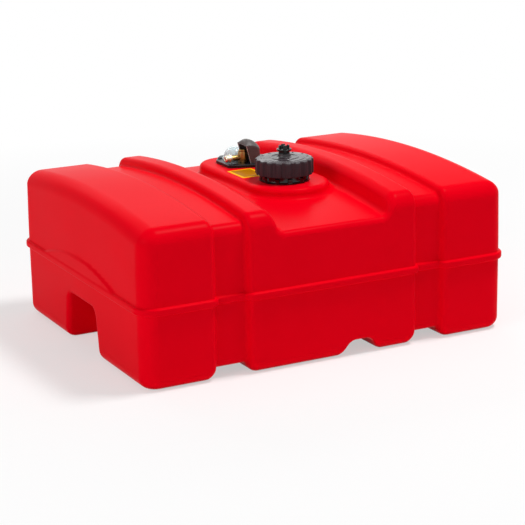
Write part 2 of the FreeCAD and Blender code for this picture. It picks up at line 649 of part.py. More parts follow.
def valve_cap():
    """Brass screw that closes the valve's bore and holds its spring."""
    head = hexagon(ELBOW_FLATS - 2.4, OUTLET_X, OUTLET_Y, ELBOW_TOP, ELBOW_TOP + 3.2)
    shank = cylinder(VALVE_BORE, OUTLET_X, OUTLET_Y, SPRING_TOP, ELBOW_TOP)
    return head.fuse(shank)


def check_poppet():
    """Poppet of the anti-siphon valve: a short drum whose cone closes the seat."""
    cone = Part.makeCone(SEAT_BORE - 0.6, POPPET_RADIUS, 1.6, V(OUTLET_X, OUTLET_Y, VALVE_SEAT_Z + 0.05))
    drum = cylinder(POPPET_RADIUS, OUTLET_X, OUTLET_Y, VALVE_SEAT_Z + 1.65, VALVE_SEAT_Z + POPPET_HEIGHT)
    return cone.fuse(drum)


def check_spring():
    """Light coil spring of square wire that holds the poppet on its seat."""
    low = VALVE_SEAT_Z + POPPET_HEIGHT + SPRING_WIRE / 2
    rise = SPRING_TOP - SPRING_WIRE / 2 - low
    half = SPRING_WIRE / 2
    sections = []
    for step in range(SPRING_TURNS * SPRING_SIDES + 1):
        turn = 2 * math.pi * step / SPRING_SIDES
        z = low + rise * step / (SPRING_TURNS * SPRING_SIDES)
        corners = []
        for out, up in ((-half, -half), (half, -half), (half, half), (-half, half)):
            radius = SPRING_COIL + out
            corners.append(V(OUTLET_X + radius * math.cos(turn), OUTLET_Y + radius * math.sin(turn), z + up))
        sections.append(Part.makePolygon(corners + [corners[0]]))
    return Part.makeLoft(sections, True, True)


def quick_plug():
    """Nickel-plated plug that the fuel hose's connector snaps over."""
    nose = level_rod(PLUG_RADIUS, PLUG_TIP_X, PLUG_TIP_X + PLUG_NOSE)
    nose = nose.makeChamfer(PLUG_BEVEL, edges_where(nose, lambda b: b.XMax < PLUG_TIP_X + 0.1))
    collar = level_rod(PLUG_NECK, PLUG_TIP_X + PLUG_NOSE, PLUG_TIP_X + PLUG_LENGTH)
    return nose.fuse(collar).cut(level_rod(OUTLET_BORE, PLUG_TIP_X - 1, PLUG_TIP_X + PLUG_LENGTH + 1))


def dip_tube():
    return tube(TUBE_OUTER, TUBE_BORE, OUTLET_X, OUTLET_Y, TUBE_BOTTOM, STEM_FOOT)


def pickup_screen():
    """Strainer on the foot of the dip tube: a cage of four bars with a closed foot."""
    top = TUBE_BOTTOM + SCREEN_LENGTH
    cup = cylinder(SCREEN_RADIUS, OUTLET_X, OUTLET_Y, TUBE_BOTTOM - 2, top)
    inside = cylinder(TUBE_OUTER, OUTLET_X, OUTLET_Y, TUBE_BOTTOM - 0.5, top + 1)
    window_low = TUBE_BOTTOM + 1
    window_high = top - 5
    near = OUTLET_Y - SCREEN_WINDOW
    far = OUTLET_Y + SCREEN_WINDOW
    left = OUTLET_X - SCREEN_WINDOW
    right = OUTLET_X + SCREEN_WINDOW
    across_x = box(OUTLET_X - 20, OUTLET_X + 20, near, far, window_low, window_high)
    across_y = box(left, right, OUTLET_Y - 20, OUTLET_Y + 20, window_low, window_high)
    return cup.cut([inside, across_x, across_y])


def hood_arch(wall, x0, x1, low):
    """A tunnel along X: upright legs and a round crown, drawn in by a wall thickness."""
    y0 = HOOD_Y[0] + wall
    y1 = HOOD_Y[1] - wall
    radius = (y1 - y0) / 2
    spring_z = HOOD_TOP - wall - radius
    wire = Part.Wire([
        Part.makeLine(V(x0, y0, low), V(x0, y1, low)),
        Part.makeLine(V(x0, y1, low), V(x0, y1, spring_z)),
        Part.Arc(V(x0, y1, spring_z), V(x0, (y0 + y1) / 2, spring_z + radius), V(x0, y0, spring_z)).toShape(),
        Part.makeLine(V(x0, y0, spring_z), V(x0, y0, low)),
    ])
    return Part.Face(wire).extrude(V(x1 - x0, 0, 0))


def outlet_guard():
    """Arched guard behind and over the outlet, open towards the left."""
    mouth_x = HOOD_X[0] - HOOD_LEAN
    arch = hood_arch(0, mouth_x, HOOD_X[1], PLATE_TOP)
    back = HOOD_X[1]
    back_edges = edges_where(arch, lambda b: b.XMin > back - 0.1 and b.ZMax > PLATE_TOP + 1)
    arch = arch.makeChamfer(HOOD_BEVEL, back_edges)
    inner = back - HOOD_WALL
    space = hood_arch(HOOD_WALL, mouth_x - 1, inner, PLATE_TOP - 1)
    inner_edges = edges_where(space, lambda b: b.XMin > inner - 0.1 and b.ZMax > PLATE_TOP)
    space = space.makeChamfer(HOOD_BEVEL, inner_edges)
    lean = Part.Face(Part.makePolygon([
        V(mouth_x - 5, 0, PLATE_TOP - 1), V(HOOD_X[0], 0, PLATE_TOP - 1), V(mouth_x, 0, HOOD_TOP + 1),
        V(mouth_x - 5, 0, HOOD_TOP + 1), V(mouth_x - 5, 0, PLATE_TOP - 1),
    ])).extrude(V(0, 150, 0))
    return arch.cut([space, lean])


def plain_label():
    """Bare yellow sticker on the platform."""
    return box(LABEL_X[0], LABEL_X[1], LABEL_Y[0], LABEL_Y[1], DECK_Z, DECK_Z + LABEL_THICKNESS)


PIECES = {
    "tank_body": tank_body,
    "neck_ring": neck_ring,
    "cap_shell": cap_shell,
    "cap_gasket": cap_gasket,
    "vent_seal": vent_seal,
    "vent_knob": vent_knob,
    "gauge_plate": gauge_plate,
    "plate_gasket": plate_gasket,
    "plate_screws": plate_screws,
    "sight_dome": sight_dome,
    "gauge_scale": gauge_scale,
    "float_bracket": float_bracket,
    "pivot_pin": pivot_pin,
    "float_arm": float_arm,
    "arm_float": arm_float,
    "pointer": pointer,
    "outlet_elbow": outlet_elbow,
    "valve_cap": valve_cap,
    "check_poppet": check_poppet,
    "check_spring": check_spring,
    "quick_plug": quick_plug,
    "dip_tube": dip_tube,
    "pickup_screen": pickup_screen,
    "outlet_guard": outlet_guard,
    "plain_label": plain_label,
}


def main():
    os.makedirs("parts", exist_ok=True)
    for name, make in PIECES.items():
        shape = make()
        if len(shape.Solids) == 1:
            shape = shape.Solids[0]
        print(name, shape.ShapeType, len(shape.Solids), "valid", shape.isValid(), round(shape.Volume))
        shape.exportStep("parts/" + name + ".step")


main()
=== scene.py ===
import math

import bmesh
import bpy
import numpy as np
from mathutils import Matrix, Vector


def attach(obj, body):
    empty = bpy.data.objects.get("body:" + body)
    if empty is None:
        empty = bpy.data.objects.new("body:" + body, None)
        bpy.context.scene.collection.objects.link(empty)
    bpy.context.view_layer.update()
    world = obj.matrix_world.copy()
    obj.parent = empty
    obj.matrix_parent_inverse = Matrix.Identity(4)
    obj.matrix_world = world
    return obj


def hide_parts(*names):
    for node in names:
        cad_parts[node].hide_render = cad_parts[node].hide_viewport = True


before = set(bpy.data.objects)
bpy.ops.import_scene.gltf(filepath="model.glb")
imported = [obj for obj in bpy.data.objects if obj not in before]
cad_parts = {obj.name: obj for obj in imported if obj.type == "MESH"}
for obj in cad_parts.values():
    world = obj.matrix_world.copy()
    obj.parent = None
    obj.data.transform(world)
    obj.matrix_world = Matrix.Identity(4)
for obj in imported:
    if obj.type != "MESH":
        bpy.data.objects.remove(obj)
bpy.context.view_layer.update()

# ---- tank shell ----------------------------------------------------------------
# One hollow piece of high-density polyethylene, blow-moulded between two halves that meet
# at the bead half way up. The plastic is blown against the mould, so every edge and every
# hollow corner comes out round. The surface is satin, with a faint unevenness and fine grain.
MM = 0.001
LENGTH, DEPTH, CROWN = 596.0, 464.0, 244.5
CROWN_ARCH, DECK_ARCH = 1600.0, 1740.0
DECK_TOP, WALL = 216.0, 4.5
SEAM, BEAD_PROUD, BEAD_HALF = 115.0, 4.8, 5.2
RIDGE_RISE, RIDGE_SHIFT = 3.0, 3.0
STRAP_INNER, STRAP_OUTER, STRAP_DEPTH, STRAP_UNDER = 138.0, 187.0, 10.0, 14.0
WELL_HALF, WELL_LEAN = 92.0, 0.24
PLATFORM_X, PLATFORM_Y, PLATFORM_HALF = 24.0, -50.0, 64.0
PLATFORM_BACK, PLATFORM_TOP = 158.0, 229.0
POCKET_TOP, POCKET_HALF, POCKET_LEAN, POCKET_END = 75.0, 50.0, 0.147, 239.0
RECESS_X, RECESS_HALF, RECESS_LEAN = 47.5, 30.9, 0.5625
RECESS_TOP, RECESS_END = 22.0, 122.0
CAP_AXIS, CAP_HOLE = (22.0, -46.0), 30.5
HEAD_AXIS, HEAD_HOLE = (18.0, 96.0), 23.0
TOP_CELLS = 200.0


def round_meet(a, b, radius):
    """Distance to the space inside both a and b, with their shared edge rounded to a radius."""
    over_a = np.maximum(a + radius, 0.0)
    over_b = np.maximum(b + radius, 0.0)
    return np.minimum(np.maximum(a, b), -radius) + np.hypot(over_a, over_b)


def round_join(a, b, radius):
    """Distance to the space inside a or b, with the corner between them filled to a radius."""
    near_a = np.maximum(radius - a, 0.0)
    near_b = np.maximum(radius - b, 0.0)
    return np.maximum(np.minimum(a, b), radius) - np.hypot(near_a, near_b)


def soft_step(value):
    """0 below 0, 1 above 1, and a smooth S between: 3 v squared less 2 v cubed."""
    value = np.clip(value, 0.0, 1.0)
    return value * value * (3.0 - 2.0 * value)


def moulded(x, y, z, brow_proud=3.4):
    """Distance in mm from the tank's form: a block with an arched top, less its channels and recesses.

    Each face is a plane or an arch about the X axis; faces meet in rounds, as in a mould. The brow is
    a low arched swelling of the end wall above each hand pocket. A leaning plane's value is made a
    distance by the cosine of its lean, which is the factor after it."""
    across = np.abs(x)
    ridge = np.abs(x - RIDGE_SHIFT)
    side = np.abs(y) - DEPTH / 2
    crown = np.hypot(y, z - CROWN + CROWN_ARCH) - CROWN_ARCH
    deck = np.hypot(y, z - DECK_TOP + DECK_ARCH) - DECK_ARCH

    arc = SEAM + 26.0 * (1.0 - (y / 150.0) ** 2)
    brow = brow_proud * soft_step((arc - z) / 5.0 + 0.5) * soft_step((z - SEAM + 7.0) / 10.0)
    lean = 1.6 * soft_step((z - 122.0) / 110.0)
    block = round_meet(side, crown - RIDGE_RISE * soft_step((168.0 - across) / 10.0), 20.0)
    block = round_meet(block, across - LENGTH / 2 - brow + lean, 26.0)
    block = round_meet(block, -z, 17.0)

    bed = round_meet(round_meet(side + STRAP_DEPTH, crown + STRAP_DEPTH, 14.0), STRAP_UNDER - z, 13.0)
    strap = round_meet(np.maximum(STRAP_INNER - ridge, across - STRAP_OUTER), -bed, 5.0)
    edge = 8.0 + 7.0 * soft_step((22.0 - z) / 18.0)
    body = round_meet(block, -strap, edge)

    lean = (ridge - WELL_HALF - WELL_LEAN * (z - DECK_TOP)) * 0.972
    well = round_meet(lean, -deck, 8.0)
    edge = 8.5 + 3.5 * soft_step((z - 203.0) / 18.0)
    body = round_meet(body, -well, edge)

    ahead = np.hypot(x - PLATFORM_X, y - PLATFORM_Y) - PLATFORM_HALF
    behind = round_meet(np.abs(x - PLATFORM_X) - PLATFORM_HALF, y - PLATFORM_BACK, 46.0)
    raised = round_meet(np.where(y < PLATFORM_Y, ahead, behind), z - PLATFORM_TOP, 8.0)
    body = round_join(body, np.maximum(raised, 150.0 - z), 8.0)

    flank = (np.abs(y) - POCKET_HALF - (POCKET_TOP - z) * POCKET_LEAN) * 0.989
    pocket = round_meet(round_meet(flank, z - POCKET_TOP, 11.0), POCKET_END - across, 10.0)
    body = round_meet(body, -pocket, 8.0)
    flank = (np.abs(x - RECESS_X) - RECESS_HALF + z * RECESS_LEAN) * 0.871
    recess = round_meet(round_meet(flank, z - RECESS_TOP, 8.0), y + RECESS_END, 12.0)
    return round_meet(body, -recess, 7.0)


def beaded(x, y, z):
    """The tank's form with its bead: the wall stands 5 mm out over 10 mm of height, in soft fillets."""
    ring = round_meet(moulded(x, y, z, 0.0) - BEAD_PROUD, np.abs(z - SEAM) - BEAD_HALF, 2.6)
    return round_join(moulded(x, y, z), ring, 1.4)


def spaced(stops):
    """Places of lattice lines from a list of (place, step from there on), the last place closing it."""
    runs = []
    for (start, step), (end, _) in zip(stops, stops[1:]):
        runs.append(np.linspace(start, end, math.ceil((end - start) / step), endpoint=False))
    return np.concatenate(runs + [[stops[-1][0]]])


def skinned(distance, axes):
    """Points, quads, normals and home cells of the surface where a distance is 0, on a lattice.

    A cell that the surface crosses gets one point, the mean of its edges' crossings; each lattice
    edge that crosses joins the four cells round it. In the first steps the points are evened out, each
    towards the middle of the quads round it, and in every step they slide along the gradient towards
    distance 0: by the distance over the gradient's length."""
    field = distance(*np.meshgrid(*axes, indexing="ij"))
    inside = field < 0
    counts = np.zeros([n - 1 for n in field.shape])
    sums = np.zeros(counts.shape + (3,))
    crossings = []
    for axis in range(3):
        others = [a for a in range(3) if a != axis]
        first = np.moveaxis(field, axis, 0)
        flips = np.moveaxis(inside, axis, 0)
        crossed = flips[:-1] != flips[1:]
        where = np.argwhere(crossed)
        start = first[:-1][crossed]
        share = start / (start - first[1:][crossed])
        cell = np.empty_like(where)
        cell[:, axis] = where[:, 0]
        cell[:, others] = where[:, 1:]
        point = cell.astype(float)
        point[:, axis] += share
        crossings.append((axis, others, cell, flips[:-1][crossed]))
        for step_a, step_b in ((0, 0), (0, 1), (1, 0), (1, 1)):
            home = cell.copy()
            home[:, others[0]] -= step_a
            home[:, others[1]] -= step_b
            fits = np.all((home >= 0) & (home < counts.shape), axis=1)
            index = tuple(home[fits].T)
            np.add.at(counts, index, 1.0)
            np.add.at(sums, index, point[fits])
    used = counts > 0
    number = np.full(counts.shape, -1)
    number[used] = np.arange(np.count_nonzero(used))
    index = sums[used] / counts[used][:, None]
    points = np.stack([np.interp(index[:, a], np.arange(len(axes[a])), axes[a]) for a in range(3)], axis=1)
    quads = []
    for axis, others, cell, starts_inside in crossings:
        fits = np.all((cell[:, others] > 0) & (cell[:, others] < np.array(counts.shape)[others]), axis=1)
        cell, starts_inside = cell[fits], starts_inside[fits]
        corners = []
        for step_a, step_b in ((0, 0), (1, 0), (1, 1), (0, 1)):
            home = cell.copy()
            home[:, others[0]] -= step_a
            home[:, others[1]] -= step_b
            corners.append(number[tuple(home.T)])
        quad = np.stack(corners, axis=1)
        turned_round = starts_inside if axis != 1 else ~starts_inside
        quads.append(np.where(turned_round[:, None], quad, quad[:, ::-1]))
    quads = np.concatenate(quads)
    shared = np.bincount(quads.ravel(), minlength=len(points))
    reach = 0.4
    furthest = 1.2
    evened = 4
    for step in range(8):
        if step < evened:
            hubs = np.repeat(points[quads].mean(axis=1), 4, axis=0)
            total = [np.bincount(quads.ravel(), hubs[:, a], len(points)) for a in range(3)]
            middle = np.stack(total, axis=1) / np.maximum(shared, 1)[:, None]
            points = points + 0.7 * (middle - points)
        here = distance(*points.T)
        slope = np.stack([
            distance(*(points + shift).T) - distance(*(points - shift).T)
            for shift in np.eye(3) * reach], axis=1) / (2 * reach)
        steep = np.maximum(np.sum(slope * slope, axis=1), 0.25)
        points = points - np.clip(slope * (here / steep)[:, None], -furthest, furthest)
    normals = slope / np.maximum(np.linalg.norm(slope, axis=1), 1e-6)[:, None]
    cells = np.argwhere(used)
    middles = np.stack([(axes[a][cells[:, a]] + axes[a][cells[:, a] + 1]) / 2 for a in range(3)], axis=1)
    return points, quads, normals, middles


def bored(points, quads, middles, centre, radius):
    """Drops the quads over an upright hole through the top and draws its rim onto a circle.

    Gives the kept quads and the rim's edges, in the direction that the kept quads have them."""
    apart = np.hypot(middles[:, 0] - centre[0], middles[:, 1] - centre[1])
    gone = (apart < radius) & (middles[:, 2] > TOP_CELLS)
    dropped = np.any(gone[quads], axis=1)
    rim = np.unique(quads[dropped])
    rim = rim[~gone[rim]]
    out = points[rim, :2] - centre
    points[rim, :2] = centre + out * (radius / np.linalg.norm(out, axis=1))[:, None]
    kept = quads[~dropped]
    edges = np.stack([kept, np.roll(kept, -1, axis=1)], axis=2).reshape(-1, 2)
    lost = quads[dropped]
    lost = np.stack([np.roll(lost, -1, axis=1), lost], axis=2).reshape(-1, 2)
    key = len(points)
    edges = edges[np.isin(edges @ [key, 1], lost @ [key, 1])]
    return kept, edges


def hole_wall(edges, middles_out, middles_in, offset):
    """Quads between a hole's outer and inner rim: each rim edge with the inner points of its cells."""
    def column(middles):
        """One whole number for each upright column of cells, from its place to an eighth of a mm."""
        eighths = np.round(middles[:, :2] * 8).astype(int)
        return eighths[:, 0] * 100000 + eighths[:, 1]
    inner = column(middles_in)
    top = np.where(middles_in[:, 2] > TOP_CELLS)[0]
    order = top[np.argsort(inner[top])]
    wanted = column(middles_out)[edges]
    found = order[np.clip(np.searchsorted(inner[order], wanted), 0, len(order) - 1)] + offset
    return np.stack([edges[:, 1], edges[:, 0], found[:, 0], found[:, 1]], axis=1)


def mesh_piece(name, points, faces, finish, body, normals=None, crease=40.0):
    """A mesh object from points in mm and faces; equal points are merged, and it rides on a body.

    It is shaded smooth, with sharp edges where faces turn by more than the crease angle."""
    mesh = bpy.data.meshes.new(name)
    mesh.from_pydata((np.asarray(points) * MM).tolist(), [], np.asarray(faces).tolist())
    if normals is None:
        work = bmesh.new()
        work.from_mesh(mesh)
        bmesh.ops.remove_doubles(work, verts=work.verts, dist=2e-6)
        work.to_mesh(mesh)
        work.free()
        mesh.shade_smooth()
        mesh.set_sharp_from_angle(angle=math.radians(crease))
    else:
        mesh.shade_smooth()
        mesh.normals_split_custom_set_from_vertices(normals.tolist())
    mesh.materials.append(finish)
    piece = bpy.data.objects.new(name, mesh)
    bpy.context.scene.collection.objects.link(piece)
    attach(piece, body)
    return piece


def linear(code):
    """An sRGB hex colour as the linear red, green, blue and alpha that the shaders take."""
    parts = [int(code[i:i + 2], 16) / 255 for i in (1, 3, 5)]
    return tuple(p / 12.92 if p <= 0.04045 else ((p + 0.055) / 1.055) ** 2.4 for p in parts) + (1.0,)


def add(tree, kind, inputs=None, **settings):
    """Adds a node with its settings; an input's value is a number, a colour or another node's socket."""
    made = tree.nodes.new("ShaderNode" + kind)
    for name, value in settings.items():
        setattr(made, name, value)
    for name, value in (inputs or {}).items():
        if isinstance(value, bpy.types.NodeSocket):
            tree.links.new(value, made.inputs[name])
        else:
            made.inputs[name].default_value = value
    return made


def finish_of(name, colours, rough, mottle, grain, relief, metallic=0.0, ior=None, specular=0.5,
              coat=0.0):
    """A finish whose colour and roughness drift between two values over mottle mm, with a grain in mm.

    The grain is a bump of relief mm; colour, roughness and bump come from noise on object coordinates.
    A roughness whose two values are equal is even, and is set on the shader itself."""
    made = bpy.data.materials.new(name)
    made.use_nodes = True
    tree = made.node_tree
    shader = tree.nodes["Principled BSDF"]
    place = add(tree, "TexCoord").outputs["Object"]
    drift = add(tree, "TexNoise", {"Vector": place, "Scale": 1 / (mottle * MM), "Detail": 3.0,
                                   "Roughness": 0.6})
    colour = add(tree, "MixRGB", {"Fac": drift.outputs["Fac"], "Color1": linear(colours[0]),
                                  "Color2": linear(colours[1])})
    tree.links.new(colour.outputs["Color"], shader.inputs["Base Color"])
    shader.inputs["Roughness"].default_value = rough[0]
    if rough[0] != rough[1]:
        gloss = add(tree, "MapRange", {"Value": drift.outputs["Fac"], "From Min": 0.3, "From Max": 0.7,
                                       "To Min": rough[0], "To Max": rough[1]})
        tree.links.new(gloss.outputs["Result"], shader.inputs["Roughness"])
    fine = add(tree, "TexNoise", {"Vector": place, "Scale": 1 / (grain * MM), "Detail": 2.0})
    bump = add(tree, "Bump", {"Height": fine.outputs["Fac"], "Distance": relief * MM, "Strength": 1.0})
    tree.links.new(bump.outputs["Normal"], shader.inputs["Normal"])
    shader.inputs["Metallic"].default_value = metallic
    shader.inputs["Specular IOR Level"].default_value = specular
    shader.inputs["Coat Weight"].default_value = coat
    if ior:
        shader.inputs["IOR"].default_value = ior
    return made


# blow-moulded high-density polyethylene: a satin, even gloss and a red whose depth drifts slowly with
# the wall's thickness; the blasted mould's grain is finer on the real one, and drawn at 1.6 mm to show;
# a second bump is the slow unevenness that blowing leaves, 110 mm along the wall and 40 mm up it
red_hdpe = finish_of("blow_moulded_hdpe", ("#E40015", "#EA0019"), (0.28, 0.28), 70.0, 1.6, 0.006,
                     ior=1.54, specular=0.007)
tree = red_hdpe.node_tree
place = tree.nodes["Texture Coordinate"].outputs["Object"]
grain_bump = tree.nodes["Bump"]
flow = add(tree, "Mapping", {"Vector": place, "Scale": (9.0, 9.0, 26.0)})
slow = add(tree, "TexNoise", {"Vector": flow.outputs["Vector"], "Scale": 1.0, "Detail": 0.0})
waves = add(tree, "Bump", {"Height": slow.outputs["Fac"], "Distance": 0.8 * MM, "Strength": 1.0,
                           "Normal": grain_bump.outputs["Normal"]})
tree.links.new(waves.outputs["Normal"], tree.nodes["Principled BSDF"].inputs["Normal"])

# lattice lines in mm along X, Y and Z, closer together where the form turns
across = spaced([(0, 4.4), (78, 3.0), (104, 5.0), (122, 3.0), (150, 6.5), (175, 3.0), (198, 8.0),
                 (266, 3.2), (307, 0)])
lattice = [
    np.concatenate([-across[:0:-1], across]),
    spaced([(-240, 3.2), (-190, 6.5), (-116, 4.4), (-28, 7.0), (38, 3.6), (70, 7.5), (120, 4.4),
            (164, 8.0), (190, 3.2), (240, 0)]),
    spaced([(-3, 3.0), (24, 7.0), (60, 3.2), (84, 7.0), (104, 1.5), (125, 3.0), (147, 8.0),
            (180, 3.6), (204, 2.6), (251, 0)]),
]
points, quads, normals, middles = skinned(beaded, lattice)
quads, bore_rim = bored(points, quads, middles, CAP_AXIS, CAP_HOLE)
quads, head_rim = bored(points, quads, middles, HEAD_AXIS, HEAD_HOLE)


def thinned(lines, *kept):
    """Every other lattice line, and all of them in the stretches kept."""
    chosen = np.arange(len(lines)) % 2 == 0
    for low, high in kept:
        chosen |= (lines > low) & (lines < high)
    return lines[chosen]


inner_lattice = [
    thinned(lattice[0], (-20, 62)),
    thinned(lattice[1], (-86, -6), (66, 126)),
    thinned(lattice[2], (216, 251)),
]
inner_points, inner_quads, inner_normals, inner_middles = skinned(
    lambda x, y, z: moulded(x, y, z) + WALL, inner_lattice)
inner_quads, _ = bored(inner_points, inner_quads, inner_middles, CAP_AXIS, CAP_HOLE)
inner_quads, _ = bored(inner_points, inner_quads, inner_middles, HEAD_AXIS, HEAD_HOLE)
joined = [quads, inner_quads[:, ::-1] + len(points)]
joined += [hole_wall(rim, middles, inner_middles, len(points)) for rim in (bore_rim, head_rim)]
all_points = np.concatenate([points, inner_points])
all_quads = np.concatenate(joined)
used, all_quads = np.unique(all_quads, return_inverse=True)
tank = mesh_piece("tank_shell", all_points[used], all_quads.reshape(-1, 4), red_hdpe, "tank",
                  np.concatenate([normals, -inner_normals])[used])
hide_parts("tank_body")

# ---- filler neck -----------------------------------------------------------------
# Moulded on with the tank and threaded outside, for the cap's six millimetres a turn. Its foot
# stands in the hole in the shell; the mouth is trimmed flat, so its lip is crisp.
NECK_BORE, NECK_CORE, NECK_CREST = 28.0, 31.2, 32.9
NECK_LIP = 256.0


def eased(corners, closed=True, steps=5):
    """A path through corners (across, up, cut): each is a parabola from a cut before it to a cut after."""
    corners = np.array(corners, float)
    spot = corners[:, :2]
    before = np.roll(spot, 1, axis=0) - spot
    after = np.roll(spot, -1, axis=0) - spot
    if not closed:
        before[0] = after[-1] = 0.0
    cut = corners[:, 2:3]
    first = spot + before * (cut / np.maximum(np.linalg.norm(before, axis=1), 1e-9)[:, None])
    last = spot + after * (cut / np.maximum(np.linalg.norm(after, axis=1), 1e-9)[:, None])
    t = np.linspace(0.0, 1.0, steps)[None, :, None]
    path = (1 - t) ** 2 * first[:, None] + 2 * t * (1 - t) * spot[:, None] + t ** 2 * last[:, None]
    return path.reshape(-1, 2)


def grid_faces(rows, columns, wrap=False):
    """Quads of a grid of points, closed round its columns and, with wrap, from last row to first."""
    row = np.arange(rows if wrap else rows - 1)[:, None]
    column = np.arange(columns)[None, :]
    above = (row + 1) % rows
    beside = (column + 1) % columns
    quads = [row * columns + column, row * columns + beside,
             above * columns + beside, above * columns + column]
    return np.stack(quads, axis=-1).reshape(-1, 4)


def turns(count):
    """Even angles round a full turn, as a row."""
    return np.linspace(0, 2 * math.pi, count, endpoint=False)[None, :]


def round_about(radius, height, centre, count):
    """Points at a radius and height, each a function of row and turn, about an upright axis."""
    turn = turns(count)
    radius, height = np.broadcast_arrays(np.asarray(radius, float), np.asarray(height, float))
    x = centre[0] + radius * np.cos(turn)
    y = centre[1] + radius * np.sin(turn)
    return np.stack([x, y, np.broadcast_to(height, x.shape)], axis=-1)


def turned(profile, centre, count):
    """Points of a profile (radius, height) turned about an upright axis."""
    return round_about(profile[:, :1], profile[:, 1:], centre, count)


def grid_piece(name, grid, finish, body, wrap=False, crease=40.0):
    """A piece from a grid of points, closed round its columns; rows that are one point close its ends."""
    faces = grid_faces(*grid.shape[:2], wrap)
    piece = mesh_piece(name, grid.reshape(-1, 3), faces, finish, body, crease=crease)
    return piece


def neck_grid():
    """Bore, lip and thread: outside, radius is the core plus a rounded ridge that climbs 6 mm a turn."""
    count = 144
    turn = turns(count)
    height = np.linspace(232.0, 254.6, 58)[:, None]
    phase = (height / 6.0 - turn / (2 * math.pi)) % 1.0
    ridge = soft_step(1.0 - np.abs(phase - 0.5) / 0.30)
    fade = soft_step((height - 240.5) / 3.0) * soft_step((254.6 - height) / 3.0)
    outside_wall = NECK_CORE + (NECK_CREST - NECK_CORE) * ridge * fade
    foot = np.array([[NECK_BORE, 224.7], [NECK_CREST, 224.7], [NECK_CREST, 230.6], [NECK_CORE, 231.4]])
    lip = eased([(NECK_CORE, 255.0, 0), (NECK_CORE, NECK_LIP, 0.8), (NECK_BORE, NECK_LIP, 0.6),
                 (NECK_BORE, 250.0, 0)], False)
    foot_wall, lip_wall = np.repeat(foot[:, :1], count, 1), np.repeat(lip[:, :1], count, 1)
    radius = np.concatenate([foot_wall, outside_wall, lip_wall])
    level = np.concatenate([foot[:, 1:], height, lip[:, 1:]])
    return round_about(radius, level, CAP_AXIS, count)


grid_piece("filler_neck", neck_grid(), red_hdpe, "tank", wrap=True)

# ---- neck ring -------------------------------------------------------------------
# Injection-moulded black polypropylene, pushed down round the neck. A low flange with an upright
# band on it carries twelve ratchet teeth that keep the cap from working loose.
RING_BOTTOM, RING_TOP = 229.0, 239.2
RING_BAND, RING_FLANGE = 36.2, 38.4
RING_TEETH = 12

# black polypropylene: the ring's is deep black and glossy; the cap's is browner, glossy on the top
# and rubbed dull below its edge, where hands take it
black_ring = finish_of("polished_polypropylene", ("#0A090A", "#100E10"), (0.12, 0.20), 9.0, 0.5, 0.003,
                       ior=1.49, specular=0.4)
black_gloss = finish_of("handled_polypropylene", ("#2A1F25", "#34282D"), (0.14, 0.24), 9.0, 0.5, 0.004,
                        ior=1.49)
tree = black_gloss.node_tree
shader = tree.nodes["Principled BSDF"]
split = add(tree, "SeparateXYZ", {"Vector": tree.nodes["Texture Coordinate"].outputs["Object"]})
edge_span = {"Value": split.outputs["Z"], "From Min": 261.6 * MM, "From Max": 262.8 * MM}
handled = add(tree, "MapRange", {**edge_span, "To Min": 0.34, "To Max": 0.0})
rubbed = add(tree, "Math", {0: tree.nodes["Map Range"].outputs["Result"], 1: handled.outputs["Result"]},
             operation="ADD")
tree.links.new(rubbed.outputs[0], shader.inputs["Roughness"])
sheen = add(tree, "MapRange", {**edge_span, "To Min": 0.24, "To Max": 0.55})
tree.links.new(sheen.outputs["Result"], shader.inputs["Specular IOR Level"])


def ring_grid():
    """A band on a flange: the radius is the band's, plus a tooth at each twelfth of a turn.

    Below the band it is the flange's; soft steps join them."""
    count = 240
    turn = turns(count)
    aside = np.abs((turn * RING_TEETH / (2 * math.pi)) % 1.0 - 0.5)
    tooth = soft_step((0.17 - aside) / 0.05 + 0.5)
    height = np.array([229.0, 229.3, 231.2, 231.8, 232.2, 236.6, 237.4, 238.0, 238.8, 239.2])[:, None]
    flange = soft_step((231.9 - height) / 0.6)
    reach = soft_step((237.9 - height) / 0.9)
    trim = np.array([0.4, 0, 0, 0, 0, 0, 0, 0, 0, 0.5])[:, None]
    radius = np.maximum(RING_BAND + (RING_FLANGE - 0.1 - RING_BAND) * tooth * reach,
                        RING_BAND + (RING_FLANGE - RING_BAND) * flange) - trim
    inner = np.array([[33.3, RING_TOP], [33.3, RING_BOTTOM]])
    radius = np.concatenate([radius, np.repeat(inner[:, :1], count, 1)])
    return round_about(radius, np.concatenate([height, inner[:, 1:]]), CAP_AXIS, count)


ring = grid_piece("neck_lock_ring", ring_grid(), black_ring, "tank", wrap=True,
                  crease=28.0)
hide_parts("neck_ring")

# ---- filler cap ------------------------------------------------------------------
# One injection moulding in black polypropylene: a skirt with eighteen grip ribs, a top with a
# shallow round groove, a ring-shaped rib, and a boss that the vent screw goes through.
CAP_BODY, CAP_RIB, CAP_RIBS = 41.4, 44.2, 18
CAP_DIMPLES, DIMPLE_CIRCLE, DIMPLE_DEPTH = 12, 35.2, 1.3


